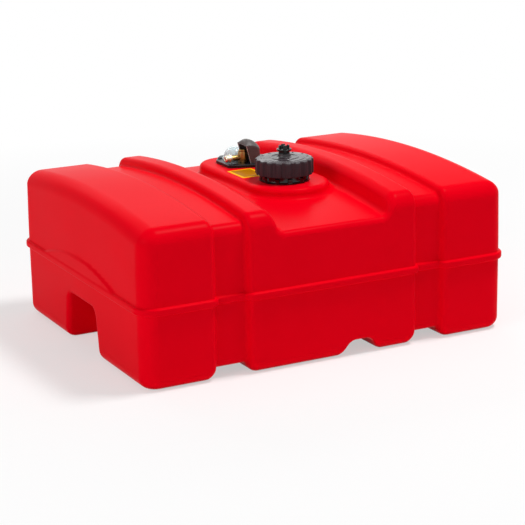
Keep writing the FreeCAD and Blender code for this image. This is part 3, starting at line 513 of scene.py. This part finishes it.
def cap_grid():
    """A closed profile (radius, height, rib share) turned about the axis.

    The skirt stands out by the ribs' height times their share: each is a flat-topped bump with round
    shoulders that dies away at both ends. The top dips in round dimples, one every thirty degrees."""
    count = 360
    turn = turns(count)
    skirt = np.array([239.6, 239.9, 240.5, 241.4, 251.0, 258.0, 260.3, 261.3, 262.0, 262.4, 262.6])
    share = np.array([0.72, 0.88, 0.97, 1, 1, 1, 0.97, 0.87, 0.66, 0.36, 0.0])
    body = np.array([-0.6, -0.2, 0, 0, 0, 0, 0, 0, 0, -0.05, -0.2])
    outside_wall = np.stack([CAP_BODY + body, skirt, share], axis=1)
    top = np.array([(39.6, 263.2), (38.9, 263.6), (38.0, 263.7), (37.3, 263.7), (36.7, 263.6),
                    (36.1, 263.5), (35.6, 263.4), (35.1, 263.3), (34.6, 263.25), (34.1, 263.2),
                    (33.6, 263.15), (33.1, 263.1), (32.6, 263.1), (32.1, 263.2), (31.6, 263.6),
                    (31.0, 263.8), (27.5, 263.9)])
    rib = eased([(24.0, 263.9, 0), (22.5, 264.0, 0.5), (22.2, 264.8, 0.5), (19.4, 264.8, 0.5),
                 (19.0, 263.8, 0.6), (11.6, 263.7, 1.6), (9.8, 265.2, 1.2), (9.8, 269.2, 0.7),
                 (5.0, 269.2, 0.4), (5.0, 258.5, 0), (34.0, 258.5, 1.5), (34.0, 239.6, 0.5),
                 (38.6, 239.6, 0)], False)
    rest = np.concatenate([top, rib])
    rest = np.concatenate([rest, np.zeros((len(rest), 1))], axis=1)
    profile = np.concatenate([outside_wall, rest])
    aside = np.abs((turn * CAP_RIBS / (2 * math.pi)) % 1.0 - 0.5)
    bump = soft_step((0.27 - aside) / 0.22 + 0.5)
    radius = profile[:, :1] + (CAP_RIB - CAP_BODY) * profile[:, 2:] * bump
    height = np.repeat(profile[:, 1:2], count, 1)
    aside = (turn * CAP_DIMPLES / (2 * math.pi) + 0.13) % 1.0 - 0.5
    aside = aside * 2 * math.pi / CAP_DIMPLES * DIMPLE_CIRCLE
    apart = np.hypot(radius - DIMPLE_CIRCLE, aside)
    height = height - DIMPLE_DEPTH * soft_step((1.9 - apart) / 0.8) * (height > 262.9)
    return round_about(radius, height, CAP_AXIS, count)


cap = grid_piece("filler_cap", cap_grid(), black_gloss, "cap", wrap=True, crease=35.0)
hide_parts("cap_shell")

# ---- vent screw ------------------------------------------------------------------
# Black acetal screw in the middle of the cap: a plain stem, a flange for the fingers, and a crown
# of four prongs. It is moulded in a polished mould, so its edges catch the light.
VENT_FOOT, VENT_TOP = 257.5, 282.5
PRONG_GAP = 2.4
black_polished = finish_of("polished_acetal", ("#101412", "#181B1A"), (0.10, 0.18), 4.0, 0.6, 0.003,
                           ior=1.48, specular=0.22, coat=0.12)

stem = eased([(0, VENT_FOOT, 0), (4.95, VENT_FOOT, 0.4), (4.95, 270.45, 0), (8.5, 270.45, 0.3),
              (8.5, 274.0, 0), (11.3, 274.0, 0.8), (11.3, 276.6, 1.0), (9.2, 276.9, 0.6),
              (0, 277.4, 0)], False, 6)
stem_grid = turned(stem, CAP_AXIS, 72)


def stacked(outline, levels, middle=None):
    """A solid from an outline carried up through levels (height, inset), each drawn in towards its middle.

    The first and last levels close in the middle."""
    middle = outline.mean(axis=0) if middle is None else np.array(middle)
    inward = middle - outline
    inward = inward / np.maximum(np.linalg.norm(inward, axis=1), 1e-9)[:, None]
    rows = [np.column_stack([outline + inward * inset, np.full(len(outline), height)])
            for height, inset in levels]
    low = np.tile([*middle, levels[0][0]], (len(outline), 1))
    high = np.tile([*middle, levels[-1][0]], (len(outline), 1))
    return np.stack([low] + rows + [high])


prong = eased([(PRONG_GAP, 2.9, 0.3), (7.6, PRONG_GAP, 0.7), (7.6, 4.0, 0.8), (5.8, 5.8, 1.6),
               (4.0, 7.6, 0.8), (PRONG_GAP, 7.6, 0.7)])
prong_grids = []
for quarter_turn, tallness in enumerate((0.0, -0.3, 0.0, -0.3)):
    spin = quarter_turn * math.pi / 2 + 0.5
    turning = np.array([[math.cos(spin), math.sin(spin)], [-math.sin(spin), math.cos(spin)]])
    top = VENT_TOP + tallness
    levels = [(276.4, 0), (top - 1.3, 0.1), (top - 0.4, 0.45), (top, 1.2)]
    prong_grids.append(stacked(prong @ turning + CAP_AXIS, levels))


def joined_grids(grids):
    """Points and quads of several grids, each closed round its columns, as one mesh."""
    sizes = np.cumsum([0] + [grid.shape[0] * grid.shape[1] for grid in grids])
    faces = [grid_faces(*grid.shape[:2]) + start for grid, start in zip(grids, sizes)]
    return np.concatenate([grid.reshape(-1, 3) for grid in grids]), np.concatenate(faces)


vent_points, vent_faces = joined_grids([stem_grid] + prong_grids)
vent = mesh_piece("vent_screw_knob", vent_points, vent_faces, black_polished, "vent_screw")
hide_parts("vent_knob")

# ---- rubber rings ----------------------------------------------------------------
# Nitrile rubber: the flat ring that the cap presses on the neck's lip, and the small one under
# the vent screw. Matt black, with the bloom that rubber takes on.
matt_rubber = finish_of("nitrile_rubber", ("#17171A", "#222224"), (0.62, 0.78), 12.0, 0.8, 0.02, ior=1.52)


def dress(finish, *nodes):
    """Gives carried-over nodes their finish."""
    for node in nodes:
        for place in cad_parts[node].material_slots:
            place.material = finish


dress(matt_rubber, "cap_gasket", "vent_seal")

# ---- gauge plate -----------------------------------------------------------------
# Black polypropylene plate with cut corners, screwed down over the hole on a cork-rubber sheet.
# It carries the gauge, the outlet and the guard.

# moulded polypropylene: a bluish black with a soft sheen; its 0.7 mm grain is barely there
black_satin = finish_of("moulded_polypropylene_satin", ("#100E14", "#19171D"), (0.20, 0.30), 14.0, 0.7,
                        0.008, ior=1.49, specular=0.24)
# cork granules of 1.5 to 3 mm pressed in rubber: dull and speckled brown
cork = finish_of("cork_rubber_sheet", ("#3A2A1E", "#5A4330"), (0.75, 0.9), 3.0, 1.5, 0.05, ior=1.5)
dress(black_satin, "gauge_plate")
dress(cork, "plate_gasket")

# ---- plate screws ----------------------------------------------------------------
# Five pan-head screws with cross recesses, zinc-plated and blackened. The heads are dark and bluish,
# their tone drifting a little at random.
SCREW_SPOTS = [(-7.5, 69.0), (-5.0, 120.0), (60.5, 69.0), (58.0, 120.0), (26.5, 134.5)]
SLOT_DEPTH = 1.2
zinc = finish_of("black_zinc_plated_steel", ("#34373B", "#4A4E52"), (0.24, 0.36), 2.0, 0.5, 0.006,
                 metallic=1.0)


def screw_grid(x, y, spin):
    """A pan head: height falls off as a low dome, less a cross-shaped recess 1.2 mm deep, on a shank."""
    count = 48
    turn = turns(count)
    radius = np.array([3.4, 3.4, 3.2, 2.8, 2.4, 2.1, 1.8, 1.5, 1.2, 0.9, 0.6, 0.3, 0.0])[:, None]
    dome = np.array([234.0, 235.0, 235.7, 236.1, 236.25, 236.3, 236.33, 236.36, 236.38,
                     236.4, 236.4, 236.4, 236.4])
    u = radius * np.cos(turn + spin)
    v = radius * np.sin(turn + spin)
    slot = soft_step((0.62 - np.minimum(np.abs(u), np.abs(v))) / 0.25 + 0.5)
    height = dome[:, None] - SLOT_DEPTH * (slot * soft_step((2.3 - radius) / 0.3 + 0.5))
    shank = turned(np.array([(0.0, 219.2), (0.9, 219.2), (1.55, 221.0), (1.55, 234.0)]), (x, y), count)
    return np.concatenate([shank, round_about(radius, height, (x, y), count)])


screw_points, screw_faces = joined_grids([screw_grid(x, y, x * 0.7 + y) for x, y in SCREW_SPOTS])
screws = mesh_piece("plate_screw_set", screw_points, screw_faces, zinc, "tank")
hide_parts("plate_screws")

# ---- sight gauge -----------------------------------------------------------------
# A clear moulded acrylic dome that its flange holds on the plate. Behind it stand a white
# scale card, red where the tank is nearly empty, and the pointer on the float arm's hub.
GAUGE = (15.0, 110.5)
DOME_BASE, DOME_RISE, DOME_HOLLOW = 234.0, 19.5, 17.4
PIVOT_HEIGHT = 222.0

# moulded acrylic: glossy, with a faint haze of fuel vapour and scuffs a few millimetres wide; only
# part of the light goes through it, the rest comes back as a pale bluish white
clear = bpy.data.materials.new("clear_acrylic")
clear.use_nodes = True
tree = clear.node_tree
shader = tree.nodes["Principled BSDF"]
shader.inputs["Base Color"].default_value = linear("#EAF7F9")
shader.inputs["IOR"].default_value = 1.49
shader.inputs["Transmission Weight"].default_value = 0.42
place = add(tree, "TexCoord").outputs["Object"]
scuffs = add(tree, "TexNoise", {"Vector": place, "Scale": 1 / (9.0 * MM), "Detail": 2.0})
haze = add(tree, "MapRange", {"Value": scuffs.outputs["Fac"], "From Min": 0.4, "From Max": 0.8,
                              "To Min": 0.02, "To Max": 0.04})
tree.links.new(haze.outputs["Result"], shader.inputs["Roughness"])


def dome_profile():
    """Flange and outer half ellipse, then the inner half ellipse back down: r = a cos t, z = b sin t."""
    t = np.linspace(0.09, math.pi / 2, 26)[:, None]
    outer = np.concatenate([16.8 * np.cos(t), DOME_BASE + DOME_RISE * np.sin(t)], axis=1)
    t = t[::-1]
    inner = np.concatenate([15.0 * np.cos(t), DOME_BASE + DOME_HOLLOW * np.sin(t)], axis=1)
    flange = eased([(15.2, DOME_BASE, 0), (18.4, DOME_BASE, 0.3), (18.4, 235.6, 0.6),
                    (16.9, 235.6, 0.2)], False)
    return np.concatenate([flange, outer, inner])


dome_grid = turned(dome_profile(), GAUGE, 96)
dome_piece = grid_piece("sight_dome_clear", dome_grid, clear, "tank", wrap=True, crease=50.0)
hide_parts("sight_dome")

# coated card: satin white, printed with black ticks every 13 degrees about the pivot, 2 degrees wide,
# and a red zone at its left end
TICK_STEP, TICK_HALF, RED_BELOW, TICKS_FROM = 0.115, 0.018, -0.3, 19.0
card = finish_of("printed_card", ("#E8E8E4", "#F2F1EC"), (0.45, 0.55), 6.0, 0.8, 0.003)
tree = card.node_tree
shader = tree.nodes["Principled BSDF"]
split = add(tree, "SeparateXYZ", {"Vector": tree.nodes["Texture Coordinate"].outputs["Object"]})
east = add(tree, "Math", {0: split.outputs["X"], 1: GAUGE[0] * MM}, operation="SUBTRACT")
up = add(tree, "Math", {0: split.outputs["Z"], 1: PIVOT_HEIGHT * MM}, operation="SUBTRACT")
angle = add(tree, "Math", {0: east.outputs[0], 1: up.outputs[0]}, operation="ARCTAN2")
tick = add(tree, "Math", {0: angle.outputs[0], 1: TICK_STEP}, operation="PINGPONG")
tick = add(tree, "Math", {0: tick.outputs[0], 1: TICK_HALF}, operation="LESS_THAN")
above = add(tree, "Math", {0: up.outputs[0], 1: TICKS_FROM * MM}, operation="GREATER_THAN")
tick = add(tree, "Math", {0: tick.outputs[0], 1: above.outputs[0]}, operation="MULTIPLY")
low_zone = add(tree, "Math", {0: angle.outputs[0], 1: RED_BELOW}, operation="LESS_THAN")
white_print = tree.nodes["Mix (Legacy)"].outputs["Color"]
zoned = add(tree, "MixRGB", {"Fac": low_zone.outputs[0], "Color1": white_print,
                             "Color2": linear("#C8241C")})
marked = add(tree, "MixRGB", {"Fac": tick.outputs[0], "Color1": zoned.outputs["Color"],
                              "Color2": linear("#1A1A1A")})
tree.links.new(marked.outputs["Color"], shader.inputs["Base Color"])
dress(card, "gauge_scale")
# moulded ABS: an orange red with an even, soft shine
pointer_red = finish_of("moulded_abs_red", ("#D9341C", "#E2452A"), (0.35, 0.45), 5.0, 0.8, 0.004)
dress(pointer_red, "pointer")

# ---- float arm and its bracket ---------------------------------------------------
# Under the plate, inside the tank: an acetal bracket, a steel pin, a bent stainless wire arm
# and a closed-cell foam float. The pick-up tube and its strainer are acetal too.

# natural acetal: milky, cream white and satin
acetal = finish_of("natural_acetal_moulding", ("#D8D4C6", "#E4E0D4"), (0.38, 0.5), 10.0, 0.9, 0.006,
                   ior=1.48)
# drawn stainless steel: grey, with the die's fine marks, drawn at 0.4 mm
drawn_steel = finish_of("drawn_stainless_wire", ("#A9A9AA", "#BDBDBC"), (0.2, 0.34), 3.0, 0.4, 0.004,
                        metallic=1.0)
# nitrile foam with a closed skin: matt black, with cells drawn at 1.2 mm, coarser than real
foam = finish_of("closed_cell_foam", ("#19191B", "#26262A"), (0.8, 0.95), 4.0, 1.2, 0.12, ior=1.45)
dress(acetal, "float_bracket", "dip_tube", "pickup_screen")
dress(drawn_steel, "pivot_pin", "float_arm", "check_poppet", "check_spring")
dress(foam, "arm_float")

# ---- fuel outlet -----------------------------------------------------------------
# A brass elbow machined from hexagon bar, with a level barrel screwed in at its side, and a cap
# screw over the valve bore. Brass is bright on the flats and brown where it has tarnished.
OUTLET = (15.0, 79.0)
OUTLET_HEIGHT = 241.5
BARREL_SIDES = 48
brass = finish_of("machined_brass", ("#7A6038", "#B39056"), (0.24, 0.42), 5.0, 0.4, 0.004, metallic=1.0)


def hexagon(flats):
    """A hexagon about the outlet's axis, six points to a side: straight between corners at 60 degrees."""
    corner = np.radians(60 * np.arange(7) + 30)[:, None]
    corners = np.concatenate([np.cos(corner), np.sin(corner)], axis=1) * flats / math.sqrt(3)
    t = np.linspace(0, 1, 6, endpoint=False)[None, :, None]
    return ((1 - t) * corners[:-1, None] + t * corners[1:, None]).reshape(-1, 2) + OUTLET


def level_turned(profile, count):
    """A profile (place along X, radius) turned about the outlet's level axis; radius 0 closes its end."""
    turn = turns(count)
    along, radius = profile[:, :1], profile[:, 1:]
    y = OUTLET[1] + radius * np.sin(turn)
    z = OUTLET_HEIGHT + radius * np.cos(turn)
    return np.stack([np.repeat(along, count, 1), y, z], axis=-1)


def bored_hexagon():
    """The elbow's body: hexagon rows up the outside with turned chamfers, then the bore, then the stem."""
    outline = hexagon(13.4)
    around = outline - OUTLET
    unit = around / np.linalg.norm(around, axis=1)[:, None]

    def row(reach, height):
        """The hexagon, nowhere further out than a reach: what a lathe leaves of it."""
        size = np.minimum(np.linalg.norm(around, axis=1), reach)[:, None]
        return np.column_stack([OUTLET + unit * size, np.full(len(outline), height)])

    hexagon_rows = [row(6.75, 234.05), row(7.8, 234.8), row(7.8, 250.2), row(6.75, 251.0)]
    bore_rows = [row(4.0, 251.0), row(4.0, 236.5), row(2.0, 236.5), row(2.0, 227.0)]
    stem_rows = [row(5.0, 227.0), row(5.0, 234.05)]
    return np.stack(hexagon_rows + bore_rows + stem_rows)


barrel = np.array([(9.5, 0), (9.5, 4.4), (7.2, 4.4), (6.9, 4.6), (3.6, 4.6), (3.3, 4.0), (2.9, 3.9),
                   (2.5, 4.6), (-0.6, 4.6), (-0.9, 4.2), (-2.2, 4.2), (-5.0, 4.2), (-5.0, 2.2),
                   (9.3, 2.2), (9.3, 0)])
hexagon_grid = bored_hexagon()
hexagon_points = hexagon_grid.reshape(-1, 3)
barrel_points = level_turned(barrel, BARREL_SIDES).reshape(-1, 3)
elbow_points = np.concatenate([hexagon_points, barrel_points])
elbow_faces = np.concatenate([grid_faces(*hexagon_grid.shape[:2], wrap=True),
                              grid_faces(len(barrel), BARREL_SIDES) + len(hexagon_points)])
elbow = mesh_piece("brass_elbow", elbow_points, elbow_faces, brass, "tank", crease=25.0)
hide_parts("outlet_elbow")

cap_screw = stacked(hexagon(11.0), [(251.02, 0.5), (251.5, 0), (253.4, 0), (254.2, 0.7)], OUTLET)
shank = turned(np.array([(0, 249.7), (3.9, 249.7), (3.9, 251.1), (0, 251.1)]), OUTLET, 36)
cap_screw_points, cap_screw_faces = joined_grids([cap_screw, shank])
valve_screw = mesh_piece("valve_cap_screw", cap_screw_points, cap_screw_faces, brass, "tank", crease=25.0)
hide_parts("valve_cap")

# ---- hose plug -------------------------------------------------------------------
# The male half of the hose coupling, turned and nickel-plated: a blunt nose with a round bore,
# a groove for the coupling's balls, and a collar on the barrel.
PLUG_TIP = -16.0

# bright nickel on turned brass: a warm silver, clouded a little where connectors rub it
nickel = finish_of("bright_nickel_plate", ("#D2C6A6", "#E6DEC8"), (0.28, 0.38), 3.0, 0.5, 0.002,
                   metallic=1.0)
plug_profile = eased([(PLUG_TIP + 11.0, 2.25, 0), (PLUG_TIP + 11.0, 5.2, 0.2), (PLUG_TIP + 9.0, 5.2, 0.1),
                      (PLUG_TIP + 9.0, 6.3, 0.4), (PLUG_TIP + 6.6, 6.3, 0.3), (PLUG_TIP + 6.0, 4.9, 0.3),
                      (PLUG_TIP + 4.6, 4.9, 0.3), (PLUG_TIP + 4.0, 5.4, 0.3), (PLUG_TIP + 2.0, 5.3, 0.9),
                      (PLUG_TIP, 3.9, 0.9), (PLUG_TIP, 2.8, 0.3), (PLUG_TIP + 0.8, 2.25, 0.2)], True, 4)
plug = grid_piece("hose_plug", level_turned(plug_profile, 72), nickel, "tank", wrap=True,
                  crease=45.0)
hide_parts("quick_plug")

# ---- outlet guard ----------------------------------------------------------------
# A hood moulded in black polypropylene, standing on the plate over the outlet: upright sides, an
# arched roof that falls away to the back, and an open mouth that leans out over the elbow. The
# mouth's rim is coloured pale grey: a painted highlight along its edge.
GUARD_BACK, GUARD_FOOT, GUARD_BROW = 40.0, 19.6, 12.0
GUARD_Y = (59.0, 91.5)
GUARD_EAVES, GUARD_RIDGE, GUARD_STAND, GUARD_WALL = 263.4, 271.0, 234.0, 2.5
GUARD_ROUND = 12.0
STRAIGHT_ROWS, ROUND_ROWS = 16, 14

# grained polypropylene: a worn brownish black, dull, with a leather-like grain drawn at 1.5 mm, about
# twice the real one's; the rim is the same plastic, smooth and glossy, with a pale grey base colour
# that is a painted highlight line
grained = finish_of("grained_polypropylene", ("#352E2D", "#524846"), (0.36, 0.50), 3.0, 1.5, 0.30, ior=1.49)
mouth_rim_painted_highlight = finish_of("painted_highlight_mouth_rim", ("#A5A1A4", "#B5B1B4"), (0.14, 0.22), 5.0, 0.8, 0.002,
                       ior=1.49, coat=1.0)


def mouth_place(z):
    """Where along X the leaning mouth is at a height: straight from its foot to its brow, then upright."""
    share = np.clip((z - GUARD_STAND) / (GUARD_EAVES - GUARD_STAND), 0, 1)
    return GUARD_FOOT + (GUARD_BROW - GUARD_FOOT) * share


def guard_section(wall):
    """The mouth seen from the front: two legs, round shoulders, and a parabola for the roof."""
    near, far = GUARD_Y[0] + wall, GUARD_Y[1] - wall
    eaves, ridge = GUARD_EAVES - 0.6 * wall, GUARD_RIDGE - wall
    leg = np.linspace(GUARD_STAND, eaves - 1.8, 8)[:-1]
    t = np.linspace(0, 1, 9)[:, None]
    shoulder = ((1 - t) ** 2 * [near, eaves - 1.8] + 2 * t * (1 - t) * [near, eaves]
                + t ** 2 * [near + 1.8, eaves + 1.0])
    middle = (near + far) / 2
    side = np.linspace(shoulder[-1, 0], middle, 10)[1:]
    rise = ridge - (ridge - shoulder[-1, 1]) * ((side - middle) / (shoulder[-1, 0] - middle)) ** 2
    upright = np.column_stack([np.full(len(leg), near), leg])
    half = np.concatenate([upright, shoulder, np.column_stack([side, rise])])
    other = half[-2::-1] * [-1, 1] + [2 * middle, 0]
    return np.concatenate([half, other])


def guard_grid(wall):
    """A hood: the mouth's outline carried back and drawn in round the back's corners.

    Its roof swells from a low lip at the mouth as a quarter ellipse, then falls as a parabola. Rows run
    from the leaning mouth to the back; the last ones close the back wall down to its foot."""
    y, z = guard_section(wall).T
    middle = (GUARD_Y[0] + GUARD_Y[1]) / 2
    back = GUARD_BACK - wall
    bend = np.linspace(0, math.pi / 2, ROUND_ROWS)[:, None]
    closed = np.array([[0.8], [0.6], [0.4], [0.2], [0.0]])
    round_off = GUARD_ROUND - wall
    reach = (GUARD_Y[1] - GUARD_Y[0]) / 2 - wall
    lean = mouth_place(z)
    along = np.linspace(0, 1, STRAIGHT_ROWS, endpoint=False)[:, None] ** 1.5
    straight = lean + along * (back - round_off - lean[None, :])
    turning = np.broadcast_to(back - round_off + round_off * np.sin(bend), (ROUND_ROWS, len(y)))
    closing = np.full((len(closed), len(y)), back)
    x = np.concatenate([straight, turning, closing])
    width = np.concatenate([np.ones((STRAIGHT_ROWS, 1)), 1 - round_off / reach * (1 - np.cos(bend)),
                            (1 - round_off / reach) * closed])
    ahead = np.clip((20.0 - x) / (20.0 - GUARD_BROW), 0, 1)
    swell = np.sqrt(1 - 0.96 * ahead ** 2)
    z = np.where(z > GUARD_EAVES - wall, GUARD_EAVES - wall + (z - GUARD_EAVES + wall) * swell, z)
    fall = 1 - 0.30 * (np.clip(x - 17.0, 0, None) / (GUARD_BACK - 17.0)) ** 2
    tuck = np.concatenate([np.ones((STRAIGHT_ROWS, 1)), 1 - 0.07 * (1 - np.cos(bend)), closed])
    z = GUARD_STAND + (z - GUARD_STAND) * fall * tuck
    return np.stack([x, middle + (y - middle) * width, z], axis=-1)


def guard_mesh():
    """Outer and inner sheets of the hood, with the feet and the mouth's rim closed between them."""
    outer, inner = guard_grid(0.0), guard_grid(GUARD_WALL)
    rows, columns = outer.shape[:2]
    index = np.arange(rows * columns).reshape(rows, columns)
    other = index + rows * columns

    def strip(a, b):
        """Quads between two lines of points."""
        return np.stack([a[:-1], a[1:], b[1:], b[:-1]], axis=-1).reshape(-1, 4)

    corners = [index[:-1, :-1], index[:-1, 1:], index[1:, 1:], index[1:, :-1]]
    sheet = np.stack(corners, axis=-1).reshape(-1, 4)
    faces = [sheet[:, ::-1], sheet + rows * columns, strip(other[:, 0], index[:, 0])[:, ::-1],
             strip(index[:, -1], other[:, -1])[:, ::-1], strip(index[0], other[0])]
    return np.concatenate([outer.reshape(-1, 3), inner.reshape(-1, 3)]), np.concatenate(faces)


def on_mouth(mesh):
    """For each face 1 where all its corners lie in the mouth's leaning face, to 0.05 mm, and else 0."""
    spots = np.empty(len(mesh.vertices) * 3)
    mesh.vertices.foreach_get("co", spots)
    x, _, z = spots.reshape(-1, 3).T / MM
    corners = np.empty(len(mesh.loops), np.int32)
    mesh.loops.foreach_get("vertex_index", corners)
    starts = np.empty(len(mesh.polygons), np.int32)
    mesh.polygons.foreach_get("loop_start", starts)
    off_mouth = np.abs(x - mouth_place(z))[corners]
    return (np.maximum.reduceat(off_mouth, starts) < 0.05).astype(np.int32)


guard = mesh_piece("outlet_hood", *guard_mesh(), grained, "tank", crease=38.0)
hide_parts("outlet_guard")
# second slot: the mouth's rim, its pale grey base colour a painted highlight
guard.data.materials.append(mouth_rim_painted_highlight)
work = bmesh.new()
work.from_mesh(guard.data)
bmesh.ops.recalc_face_normals(work, faces=work.faces)
work.to_mesh(guard.data)
work.free()
guard.data.polygons.foreach_set("material_index", on_mouth(guard.data))
# the rim's bevel takes the second slot too, so the painted highlight runs along the rounded edge
soften = guard.modifiers.new("rim", "BEVEL")
soften.width = 0.9 * MM
soften.segments = 3
soften.limit_method = "ANGLE"
soften.angle_limit = math.radians(50)
soften.material = 1

# ---- label -----------------------------------------------------------------------
# A bare yellow film sticker on the platform between gauge and cap, printed with a plain ochre
# panel inside a yellow border. The film is satin, and lies flat.
LABEL = (-28.0, 14.0, -6.0, 49.0)
BORDER = 4.5
yellow = finish_of("printed_vinyl_film", ("#F6B400", "#FCBE04"), (0.32, 0.42), 20.0, 1.0, 0.003,
                   specular=0.02)
tree = yellow.node_tree
shader = tree.nodes["Principled BSDF"]
split = add(tree, "SeparateXYZ", {"Vector": tree.nodes["Texture Coordinate"].outputs["Object"]})
inset = []
for axis, low_edge, high_edge in (("X", LABEL[0], LABEL[1]), ("Y", LABEL[2], LABEL[3])):
    middle, half = (low_edge + high_edge) / 2 * MM, (high_edge - low_edge) / 2 * MM
    away = add(tree, "Math", {0: split.outputs[axis], 1: middle}, operation="SUBTRACT")
    away = add(tree, "Math", {0: away.outputs[0]}, operation="ABSOLUTE")
    away = add(tree, "Math", {0: away.outputs[0], 1: half - BORDER * MM}, operation="LESS_THAN")
    inset.append(away.outputs[0])
panel = add(tree, "Math", {0: inset[0], 1: inset[1]}, operation="MULTIPLY")
border_print = tree.nodes["Mix (Legacy)"].outputs["Color"]
printed = add(tree, "MixRGB", {"Fac": panel.outputs[0], "Color1": border_print,
                               "Color2": linear("#AE6E02")})
tree.links.new(printed.outputs["Color"], shader.inputs["Base Color"])
edge_line = eased([(LABEL[0], LABEL[2], 2.5), (LABEL[1], LABEL[2], 2.5), (LABEL[1], LABEL[3], 2.5),
                   (LABEL[0], LABEL[3], 2.5)])
label_grid = stacked(edge_line, [(229.0, 0), (229.35, 0), (229.4, 0.1)])
label_points, label_faces = joined_grids([label_grid])
sticker = mesh_piece("bare_label", label_points, label_faces, yellow, "tank")
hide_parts("plain_label")

# ---- camera, floor and light -----------------------------------------------------
# The tank stands on a pale floor in studio light: a key lamp overhead to the right, wider and
# weaker ones behind and to the left, and an even white surround. The camera looks down
# 15.6 degrees on the front left corner.
lens = bpy.data.cameras.new("camera")
lens.lens = 117.914
lens.clip_end = 100.0
camera = bpy.data.objects.new("camera", lens)
bpy.context.scene.collection.objects.link(camera)
right, up = (0.885634, -0.464044, -0.017768), (0.139868, 0.230063, 0.963072)
back = (-0.442820, -0.855415, 0.268656)
stand = Matrix.Translation(Vector((-1.17689, -2.28449, 0.80724)))
camera.matrix_world = stand @ Matrix((right, up, back)).transposed().to_4x4()
bpy.context.scene.camera = camera


def seen_directly(tree):
    """1 for camera, glossy and transmission rays, which see pure white, and 0 for those that light."""
    ray = add(tree, "LightPath")
    seen = add(tree, "Math", {0: ray.outputs["Is Camera Ray"], 1: ray.outputs["Is Glossy Ray"]},
               operation="MAXIMUM")
    seen = add(tree, "Math", {0: seen.outputs[0], 1: ray.outputs["Is Transmission Ray"]},
               operation="MAXIMUM")
    return seen.outputs[0]


floor_mesh = bpy.data.meshes.new("floor")
floor_mesh.from_pydata([(-9, -9, 0), (9, -9, 0), (9, 9, 0), (-9, 9, 0)], [], [(0, 1, 2, 3)])
floor = bpy.data.objects.new("floor", floor_mesh)
bpy.context.scene.collection.objects.link(floor)

# studio paper: matt and pale, so that it takes the tank's shadow, and going over to white from half a
# metre to a metre and a half out
paper = bpy.data.materials.new("pale_floor")
paper.use_nodes = True
tree = paper.node_tree
shader = tree.nodes["Principled BSDF"]
shader.inputs["Base Color"].default_value = linear("#F2F2F2")
shader.inputs["Roughness"].default_value = 0.9
shader.inputs["Specular IOR Level"].default_value = 0.0
floor_mesh.materials.append(paper)
place = add(tree, "TexCoord").outputs["Object"]
away = add(tree, "VectorMath", {0: place}, operation="LENGTH")
share = add(tree, "MapRange", {"Value": away.outputs["Value"], "From Min": 0.5, "From Max": 1.5,
                               "To Min": 0.5, "To Max": 1.0})
share = add(tree, "Math", {0: share.outputs["Result"], 1: seen_directly(tree)}, operation="MULTIPLY")
white = add(tree, "Emission", {"Color": linear("#FFFFFF"), "Strength": 1.0})
both = add(tree, "MixShader", {"Fac": share.outputs[0], 1: shader.outputs["BSDF"],
                               2: white.outputs["Emission"]})
tree.links.new(both.outputs["Shader"], tree.nodes["Material Output"].inputs["Surface"])

world = bpy.data.worlds.new("studio")
world.use_nodes = True
bpy.context.scene.world = world
tree = world.node_tree
strength = add(tree, "MapRange", {"Value": seen_directly(tree), "To Min": 0.31, "To Max": 1.0})
tree.links.new(strength.outputs["Result"], tree.nodes["Background"].inputs["Strength"])
tree.nodes["Background"].inputs["Color"].default_value = linear("#FFFFFF")


def soft_lamp(name, place, aim, width, height, watts):
    """A rectangular lamp at a place in metres, its face turned towards the aim."""
    lamp = bpy.data.lights.new(name, "AREA")
    lamp.shape = "RECTANGLE"
    lamp.size, lamp.size_y = width, height
    lamp.energy = watts
    holder = bpy.data.objects.new(name, lamp)
    bpy.context.scene.collection.objects.link(holder)
    facing = (Vector(place) - Vector(aim)).to_track_quat("Z", "Y").to_matrix().to_4x4()
    holder.matrix_world = Matrix.Translation(Vector(place)) @ facing


soft_lamp("overhead", (0.9, -0.5, 2.6), (0.0, 0.0, 0.2), 0.68, 0.52, 53.0)
soft_lamp("behind", (0.4, 3.0, 2.1), (0.0, 0.0, 0.2), 3.2, 1.2, 22.0)
soft_lamp("left", (-2.6, -0.7, 1.2), (-0.3, 0.0, 0.1), 1.6, 1.4, 25.0)

bpy.context.scene.view_settings.view_transform = "Standard"
